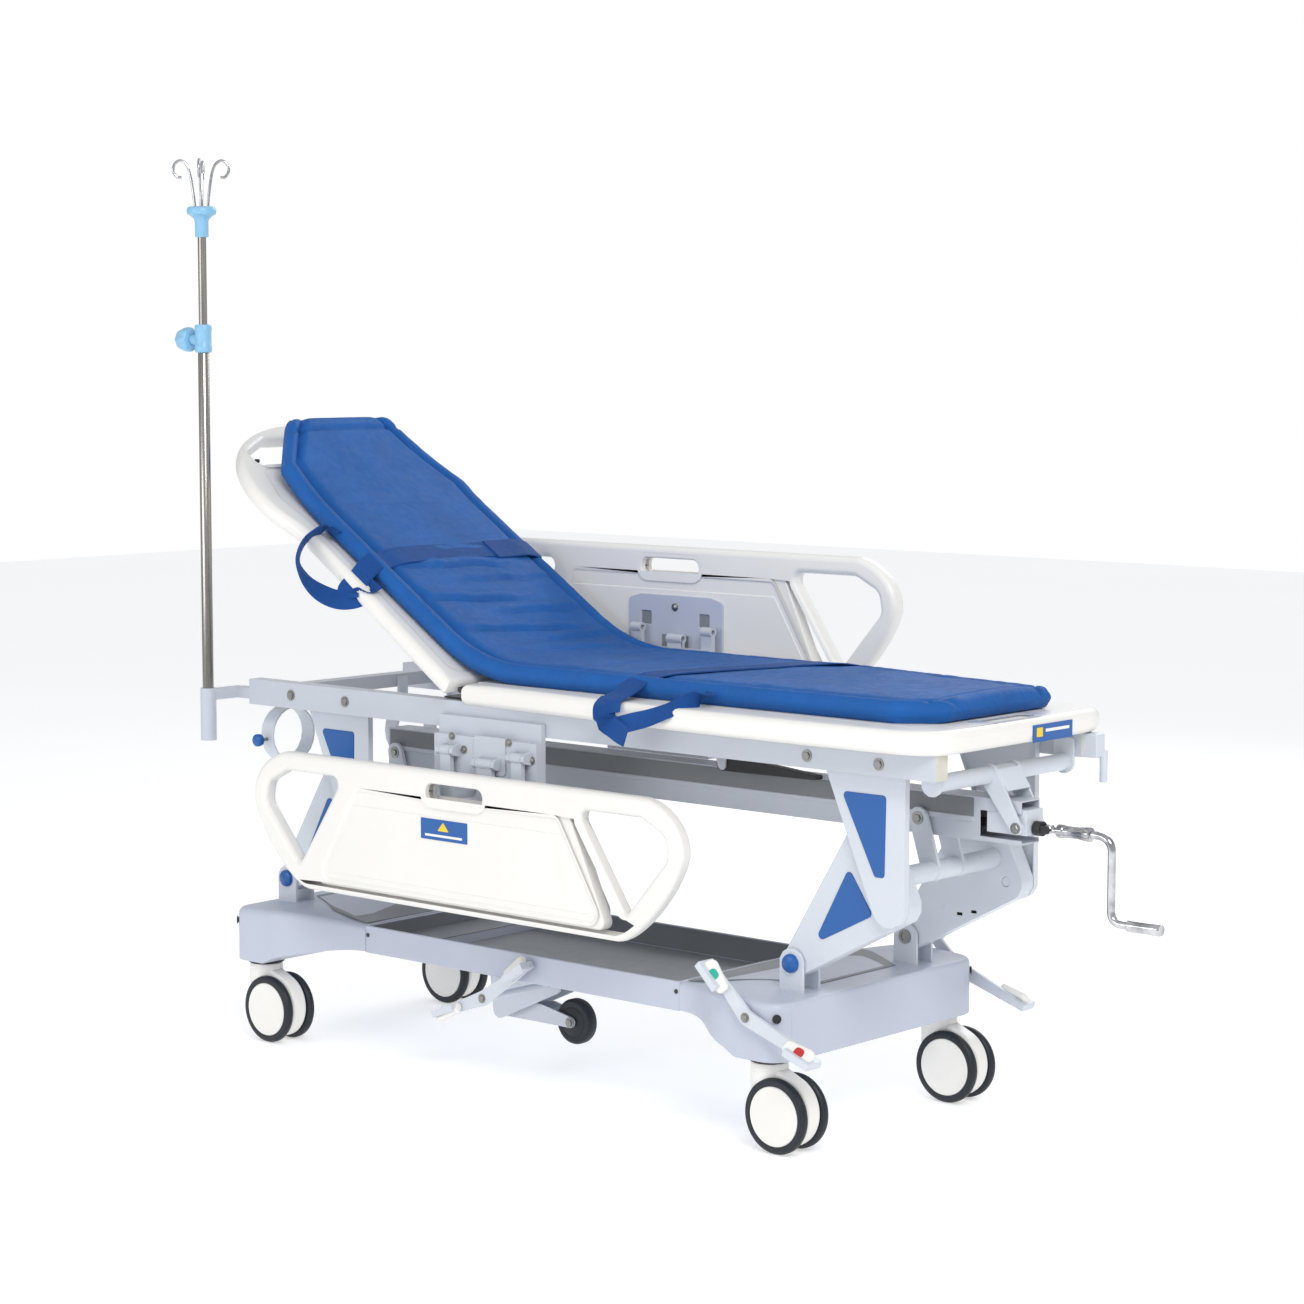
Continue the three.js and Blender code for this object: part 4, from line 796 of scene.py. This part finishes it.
# A black plate across the trolley, just below the backrest hinge.
plate("black_plate_under_hinge", [rectangle(-205, -236, -134, 236, 6)], 3, 1, level(812), "black_plastic", "top_frame")
lathe("strap_button", [(0, 0), (5, 0), (5, 9), (0, 9)], on_board(-838, -200, 0), (0, -1, 0), "black_plastic",
      "backrest", segments=6)


# ---- Side rails ----

PANEL = outline((-455, -115), (455, -115), (500, -115, 610, -10, 630, 70), (636, 140, 560, 182, 520, 182),
                (-520, 182), (-560, 182, -636, 140, -630, 70), (-610, -10, -500, -115, -455, -115), count=12)
WINDOW = [(343, 141), (520, 141), (582, 110), (590, 66), (480, -60)]


def flipped(points):
    return [(-u, v) for u, v in points]


def side_rail(side_name):
    side = SIDES[side_name]
    body = f"rail_panel_{side_name}"
    mid = PANEL_Z[side_name]

    def place(u, v, w):
        return at(RAIL_X + u, side * (RAIL_Y + w), mid + v)

    window = rounded(WINDOW, [17, 30, 30, 24, 10], count=8)
    slot = rectangle(-84, 117, 84, 155, 18)
    field = rounded([(-408, -78), (408, -78), (292, 112), (-292, 112)], 14)
    parts = [plate("rim", [PANEL, window, flipped(window), field, slot], 38, 13, place, "white_plastic",
                   steps=7)]
    parts.append(plate("web", [rounded([(-430, -98), (430, -98), (312, 162), (-312, 162)], 16), slot], 29, 4,
                       place, "white_plastic"))
    raised = rounded([(-394, -68), (394, -68), (300, 86), (-300, 86)], 12)
    for way in (1, -1):
        parts.append(plate("field", [raised], 4, 1.6, lifted(place, way * 14.2), "white_plastic"))
        lip_out = rectangle(-98, 104, 98, 168, 28)
        parts.append(plate("lip", [lip_out, slot], 9, 4, lifted(place, way * 14), "white_plastic"))
    joined(f"side_rail_{side_name}_moulding", parts, body, [f"side_rail_panel_{side_name}"])

    plate(f"rail_label_{side_name}", [rectangle(-97, 37, 40, 81, 1.5)], 1.6, 0.4, lifted(place, 17.0),
          "blue_plastic", body)
    plate(f"rail_label_mark_{side_name}", [rounded([(-47, 57), (-13, 57), (-30, 76)], 1.5)], 1.2, 0.3,
          lifted(place, 17.9), "yellow", body)
    plate(f"rail_label_bar_{side_name}", [rectangle(-84, 44, 26, 49, 1.5)], 1.2, 0.3,
          lifted(place, 17.9), "white_plastic", body)

    plate_shape = rounded([(-121, -66), (157, -66), (157, 64), (121, 74), (-85, 74), (-121, 64)],
                          [6, 6, 12, 20, 20, 12])
    holes = [rectangle(c - 15, 6, c + 15, 36, 3) for c in (-68, 103)]
    plate(f"rail_inner_plate_{side_name}", [plate_shape] + holes, 6, 1.6, lifted(place, -17.0),
          "grey_moulding", body)
    plate(f"rail_inner_dark_{side_name}", [rectangle(-100, -6, 136, 44, 5)], 1.4, 0.4,
          lifted(place, -16.2), "dark_grey_and_tray_shade", body)
    lathe(f"rail_inner_button_{side_name}", [(0, 0), (9, 0), (9, 2), (6, 4), (0, 5)], place(18, 48, -20),
          (0, -side, 0), "zinc", body, segments=24)
    plate(f"rail_inner_label_{side_name}", [rectangle(-20, -44, 58, -14, 3)], 1.4, 0.4,
          lifted(place, -20.4), "dark_grey_and_tray_shade", body)
    bracket(side_name)


def bracket(side_name):
    side = SIDES[side_name]
    for kind in ("bracket", "arms", "stay"):
        refine(f"side_rail_{kind}_{side_name}", "frame_steel", 1.6)
    places = []
    for x, z in ((-127, 738), (-91, 712), (106, 706), (40, 738)):
        places.append(((x, side * 287.2, z), (0, side, 0)))
    bolts(f"bracket_bolts_{side_name}", places, "top_frame", radius=6, washer=9)
    boss = rectangle(-46, -40, 46, 40, 8)
    plate(f"bracket_boss_{side_name}", [boss], 6, 2, lambda u, v, w: at(-14 + u, side * (288 + w), 706 + v),
          "frame_steel", "top_frame")


for side_name in SIDES:
    side_rail(side_name)

# ---- Labels and corner fittings ----

for name, corners, look, lift in (
        ("deck_label", (18, 802, 152, 836), "blue_plastic", 0),
        ("deck_label_mark", (30, 812, 50, 830), "yellow", 0.8),
        ("deck_label_bar", (60, 820, 140, 826), "white_plastic", 0.8)):
    plate(name, [rectangle(*corners, 1.5)], 1.4, 0.4, lambda u, v, w, lift=lift: at(1140.8 + w + lift, u, v),
          look, "top_frame")
plate("corner_bracket", [rectangle(1086, 752, 1150, 800, 6)], 30, 3,
      lambda u, v, w: at(u, 240 + w, v), "white_steel", "top_frame")
tube("corner_post", [(1146, 256, 765), (1146, 256, 730), (1146, 256, 702)], 8, "white_steel", "top_frame")

# ---- Infusion pole ----

ON_POLE = (at(*POLE, 0), (0, 0, 1))
KNOB_Z = 1572
lathe("pole_lower", [(0, 687), (12.5, 687), (12.5, 1588), (11.5, 1589.6), (0, 1589.6)], *ON_POLE,
      "stainless", "top_frame", segments=40, replaces=["iv_lower_tube"])
lathe("pole_upper", [(0, 1181), (9.4, 1181), (9.4, 1845), (0, 1845)], *ON_POLE, "stainless",
      "iv_upper", segments=40, replaces=["iv_upper_tube"])
sleeve = lathe("sleeve", [(0, 1543), (16, 1543), (18.4, 1545), (19, 1550), (19, 1558), (18, 1560), (18, 1590),
                          (19, 1592), (19, 1601), (17, 1605), (0, 1605.6)], *ON_POLE, "light_blue_plastic")
boss = lathe("boss", [(0, 6), (13, 6), (12, 33.4), (0, 33.4)], at(*POLE, KNOB_Z), (-1, 0, 0),
             "light_blue_plastic")
joined("pole_clamp", [sleeve, boss], "top_frame", ["iv_clamp"])
knob_rings = []
for k, (r, h) in enumerate([(0.02, 34.8), (9, 34.8), (9.5, 37), (22, 37.5), (25.5, 40), (26.6, 46),
                            (26.6, 54), (25.4, 63), (22, 71), (16, 76.6), (8, 79.4), (0.02, 80)]):
    knob_rings.append([at(POLE[0] - h, POLE[1] + r * (1 + 0.035 * cos(8 * a)) * cos(a),
                          KNOB_Z + r * (1 + 0.035 * cos(8 * a)) * sin(a))
                       for a in (2 * pi * i / 64 for i in range(64))])
loft("pole_knob", knob_rings, "light_blue_plastic", "iv_knob", replaces=["iv_clamp_knob"], smooth=60)
lathe("pole_hub", [(0, 1798.4), (14, 1798.4), (15, 1800), (15, 1832), (17, 1838), (24, 1845), (31, 1849),
                   (32.5, 1853), (32.5, 1860), (30, 1864.5), (24, 1866), (0, 1866)], *ON_POLE,
      "light_blue_plastic", "iv_upper", replaces=["iv_hook_hub"])
hooks = []
HOOK_LINE = [(14, 1860), (16, 1884), (20, 1915), (25, 1942), (33, 1960), (46, 1967), (58, 1959), (61, 1943),
             (53, 1931), (43, 1930)]
for i in range(4):
    angle = radians(45 + 90 * i)
    c, s = cos(angle), sin(angle)
    hooks.append(tube("hook", [(POLE[0] + r * c, POLE[1] + r * s, z) for r, z in HOOK_LINE], 3.1, "chrome",
                      sides=12))
joined("pole_hooks", hooks, "iv_upper")


# ---- Mattress and straps ----

BEND = 135                      # half the length of the bend over the backrest hinge
CORNER = (-128, 848.5)
PAD_ENDS = (-872, 1198)
PAD_STEP = 5
HALF_HEIGHT = 22
ROUND = 11                      # radius of the pad's sides in plan


def pad_base(s):
    """The pad's underside in the XZ plane: s runs from the hinge, towards the foot when positive."""
    back = (-cos(TILT), sin(TILT))
    if s >= BEND:
        return Vector((CORNER[0] + s, CORNER[1]))
    if s <= -BEND:
        point = Vector((CORNER[0] - s * back[0], CORNER[1] - s * back[1]))
        rise = 62 * max(0, (-560 - s) / 312) ** 2
        return point + Vector((sin(TILT), cos(TILT))) * rise
    u = (s + BEND) / (2 * BEND)
    a = Vector((CORNER[0] + BEND * back[0], CORNER[1] + BEND * back[1]))
    c = Vector((CORNER[0] + BEND, CORNER[1]))
    return (1 - u) ** 2 * a + 2 * u * (1 - u) * Vector(CORNER) + u ** 2 * c


def pad_point(s, y, h):
    base = pad_base(s)
    along = (pad_base(s + 4) - pad_base(s - 4)).normalized()
    return at(base.x - along.y * h, y, base.y + along.x * h)


def pad_edges(s):
    """The pad's right and left edges: the left one lies further out, and the corners are cut."""
    right = 225 - 91 * max(0, -742 - s) / 130 - 68 * max(0, s - 1110) / 90
    left = 283 - 118 * max(0, -655 - s) / 217 - 8 * max(0, min(1, (s - 68) / 620))
    left -= 85 * max(0, s - 688) / 512
    return right, left


# Folds across the pad: place, middle, height, half width, slant and half length in millimetres.
FOLDS = [(-402, 60, 3.5, 13, 0.05, 190), (-352, 10, 6.0, 12, 0.08, 170), (-296, 90, 5.0, 14, 0.03, 160),
         (-232, -50, 7.0, 13, 0.10, 150), (-176, 110, 5.5, 14, 0.04, 150), (-112, -10, 7.0, 15, 0.12, 180),
         (-50, 120, 5.0, 16, -0.06, 120), (8, 20, 4.0, 18, 0.15, 160), (-470, 90, 2.5, 18, 0.02, 150),
         (-620, -60, 2.4, 24, 0.05, 150), (-742, 70, 2.2, 22, -0.04, 120), (120, 120, 2.6, 22, 0.2, 120),
         (262, -60, 2.4, 26, 0.2, 130), (620, 60, 1.8, 30, 0.1, 150), (860, -40, 1.8, 28, -0.1, 130)]


def wrinkle(s, y):
    height = 0.0
    for s0, y0, size, width, slope, length in FOLDS:
        wander = 12 * noise.noise(Vector((y / 85, s0, 3.1))) + 4 * noise.noise(Vector((y / 30, s0, 9.4)))
        distance = (s - s0 - slope * (y - y0) - wander) / width
        reach = exp(-((y - y0) / length) ** 4)
        height += size * reach * (exp(-distance ** 2) - 0.9 * exp(-(2.2 * (distance - 1.25)) ** 2))
    broad, fine = noise.noise(Vector((s / 120, y / 150, 7.7))), noise.noise(Vector((s / 30, y / 70, 1.3)))
    return height + (2.6 * broad + fine)


def pad_top(s, y, right, left):
    """Height of the pad's top: a rounded border band, a sewn groove and a crowned middle."""
    edge = min(y + right, left - y)
    band = 38 + 5.5 * sin(pi * min(1, max(0, edge / 34))) + 0.9 * noise.noise(Vector((s / 22, y / 40, 5)))
    groove = 7.5 * exp(-((edge - 36) / 4) ** 2)
    middle = max(0.0, min(1.0, (edge - 35) / 22))
    middle = middle * middle * (3 - 2 * middle)
    crown = 43 + 5 * max(0, 1 - ((y - (left - right) / 2) / ((left + right) / 2)) ** 2)
    return band * (1 - middle) + crown * middle - groove + middle * wrinkle(s, y)


def mattress():
    stations = list(range(PAD_ENDS[0], PAD_ENDS[1] + 1, PAD_STEP))
    across = 76
    rings = []
    for s in stations:
        from_end = min(s - stations[0], stations[-1] - s)
        full = max(0.08, sqrt(max(0.0, 1 - (1 - min(1, from_end / 20)) ** 2)))
        seam = 7 * exp(-((from_end - 38) / 4.5) ** 2) * (1 if from_end > 20 else 0)
        right, left = (edge - 8 * (1 - full) for edge in pad_edges(s))
        ring = []
        for k in range(across + 1):
            y = -right + ROUND + (right + left - 2 * ROUND) * k / across
            ring.append((y, HALF_HEIGHT + (pad_top(s, y, right, left) - seam - HALF_HEIGHT) * full))
        for k in range(1, 8):
            a = pi * k / 8
            ring.append((left - ROUND + ROUND * sin(a), HALF_HEIGHT + 16 * cos(a) * full))
        for k in range(13):
            ring.append((left - ROUND - (right + left - 2 * ROUND) * k / 12, HALF_HEIGHT - 21.5 * full))
        for k in range(1, 8):
            a = pi * k / 8
            ring.append((-right + ROUND - ROUND * sin(a), HALF_HEIGHT - 16 * cos(a) * full))
        rings.append([pad_point(s, y, h) for y, h in ring])
    piece = loft("mattress", rings, "blue_fabric", smooth=60, replaces=["mattress_foot", "mattress_back"])
    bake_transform(piece)


mattress()


def over_pad(s, y, lift):
    """A build point on the pad's top, in millimetres."""
    right, left = pad_edges(s)
    inside = max(-right + 40, min(left - 40, y))
    drop = 12 * max(0, (abs(y - inside) - 28) / 12) ** 2
    point = pad_point(s, y, pad_top(s, inside, right, left) + lift - drop)
    return (point.x / MM + CENTRE_X, point.y / MM, point.z / MM)


def back_strap():
    """Webbing over the chest: across the pad, round the board's rim, with a loose loop."""
    body = "backrest"
    s = -382
    slope = Vector((cos(TILT), 0, -sin(TILT)))
    across = [over_pad(s - 4, y, 3.5) for y in (276, 230, 150, 75, 0, -75, -150, -190, -214)]
    down = [(-438, -236, 1076), (-446, -256, 1052), (-452, -278, 1030), (-450, -282, 1012)]
    ribbon("chest_strap", across + down, [slope] * len(across + down), 58, body)
    ribbon("chest_strap_flap", [over_pad(s, y, 7) for y in (276, 230, 180, 130)], [slope] * 4, 64, body, 2.6)
    far = [over_pad(s, 278, 2), (-436, 290, 1072), (-448, 291, 1046), (-462, 280, 1012)]
    ribbon("chest_strap_far", far, [slope] * 4, 58, body)
    loop = [(-541, -216, 1150), (-565, -240, 1158), (-575, -290, 1134), (-562, -325, 1093),
            (-540, -322, 1052), (-508, -305, 1022), (-462, -288, 1008), (-420, -262, 1020),
            (-404, -240, 1046)]
    ways = [(0.3, 0.9, -0.3), (0, 1, 0), (-0.5, 0.85, 0), (-0.62, 0.75, 0.1), (-0.5, 0.7, 0.4),
            (-0.2, 0.6, 0.7), (0.2, 0.5, 0.8), (0.6, 0.2, 0.7), (0.8, 0, -0.4)]
    ribbon("chest_strap_loop", loop, ways, 44, body)


def leg_strap():
    """Webbing over the legs: across the pad, over the deck's edge, with a folded tail and a loop."""
    body = "top_frame"
    line = [over_pad(s, y, 3.5) for s, y in ((660, 268), (636, 200), (604, 130), (575, 60), (545, -20),
                                             (516, -100), (488, -170), (472, -208))]
    way = Vector((1, 0.16, 0))
    line += [(338, -236, 876), (334, -262, 862), (336, -300, 850), (348, -322, 826)]
    ribbon("leg_strap", line, [way] * len(line), 56, body)
    tail = [(330, -290, 852), (336, -318, 838), (352, -330, 815), (384, -334, 796), (410, -334, 786)]
    ways = [(0.9, 0.1, -0.3), (0.9, 0, -0.35), (0.75, 0, -0.6), (0.45, 0, 0.85), (0.4, 0, 0.9)]
    ribbon("leg_strap_tail", tail, ways, 46, body, 2.6)
    loop = [(384, -331, 806), (420, -330, 816), (462, -322, 828), (502, -300, 846), (530, -262, 862),
            (546, -232, 874)]
    ways = [(0, 0.2, 1), (0, 0.25, 1), (0, 0.45, 0.9), (0.1, 0.7, 0.7), (0.4, 0.6, 0.5), (0.8, 0.4, 0.2)]
    ribbon("leg_strap_loop", loop, ways, 38, body)
    far = [over_pad(660, 266, 2), (534, 282, 880), (534, 290, 862), (536, 302, 852)]
    ribbon("leg_strap_far", far, [way] * 4, 56, body)


back_strap()
leg_strap()

# ---- Studio ----

floor_mesh = bpy.data.meshes.new("floor")
FLOOR_REACH = 14
floor_corners = [(x * FLOOR_REACH, y * FLOOR_REACH, 0) for x, y in ((-1, -1), (1, -1), (1, 1), (-1, 1))]
floor_mesh.from_pydata(floor_corners, [], [(0, 1, 2, 3)])
floor_mesh.materials.append(MATERIALS["floor"])
floor_piece = add_object("floor", floor_mesh)

world = bpy.data.worlds.new("studio")
bpy.context.scene.world = world
world.use_nodes = True
sky = world.node_tree
ambient = sky.nodes["Background"]
ambient.inputs["Color"].default_value = (0.94, 0.965, 1.0, 1)
ambient.inputs["Strength"].default_value = 0.62
backdrop = sky.nodes.new("ShaderNodeBackground")
backdrop.inputs["Color"].default_value = (1, 1, 1, 1)
choose = sky.nodes.new("ShaderNodeMixShader")
seen = sky.nodes.new("ShaderNodeLightPath")
sky.links.new(seen.outputs["Is Camera Ray"], choose.inputs["Fac"])
sky.links.new(ambient.outputs["Background"], choose.inputs[1])
sky.links.new(backdrop.outputs["Background"], choose.inputs[2])
sky.links.new(choose.outputs["Shader"], sky.nodes["World Output"].inputs["Surface"])


def area_light(name, place, target, size, power, colour=(1, 1, 1)):
    light = bpy.data.lights.new(name, "AREA")
    light.shape = "RECTANGLE"
    light.size, light.size_y = size
    light.energy = power
    light.color = colour
    lamp = add_object(name, light)
    lamp.location = place
    lamp.rotation_euler = (Vector(target) - Vector(place)).to_track_quat("-Z", "Y").to_euler()


area_light("key", (3.6, -2.6, 4.0), (0, 0, 0.7), (2.4, 1.8), 130, (1, 0.985, 0.96))
area_light("fill", (-1.5, -4.5, 1.8), (0, 0, 0.5), (3.0, 1.4), 38, (0.97, 0.98, 1))
area_light("back", (-1.0, 4.5, 3.4), (0, 0, 0.9), (3.0, 1.5), 60)

LENS_PIXELS = 3109.3
FRAME_PIXELS = 1304
AZIMUTH, PITCH = radians(41.568), radians(5.667)
CAMERA_PLACE = (4.272, -4.8833, 1.5632)
SENSOR_WIDTH = 36
camera_data = bpy.data.cameras.new("camera")
camera_data.sensor_width = SENSOR_WIDTH
camera_data.lens = LENS_PIXELS / FRAME_PIXELS * SENSOR_WIDTH
camera_data.clip_end = 60
camera = add_object("camera", camera_data)
camera.location = CAMERA_PLACE
look = Vector((-sin(AZIMUTH) * cos(PITCH), cos(AZIMUTH) * cos(PITCH), -sin(PITCH)))
camera.rotation_euler = look.to_track_quat("-Z", "Y").to_euler()
bpy.context.scene.camera = camera
bpy.context.scene.view_settings.view_transform = "Standard"
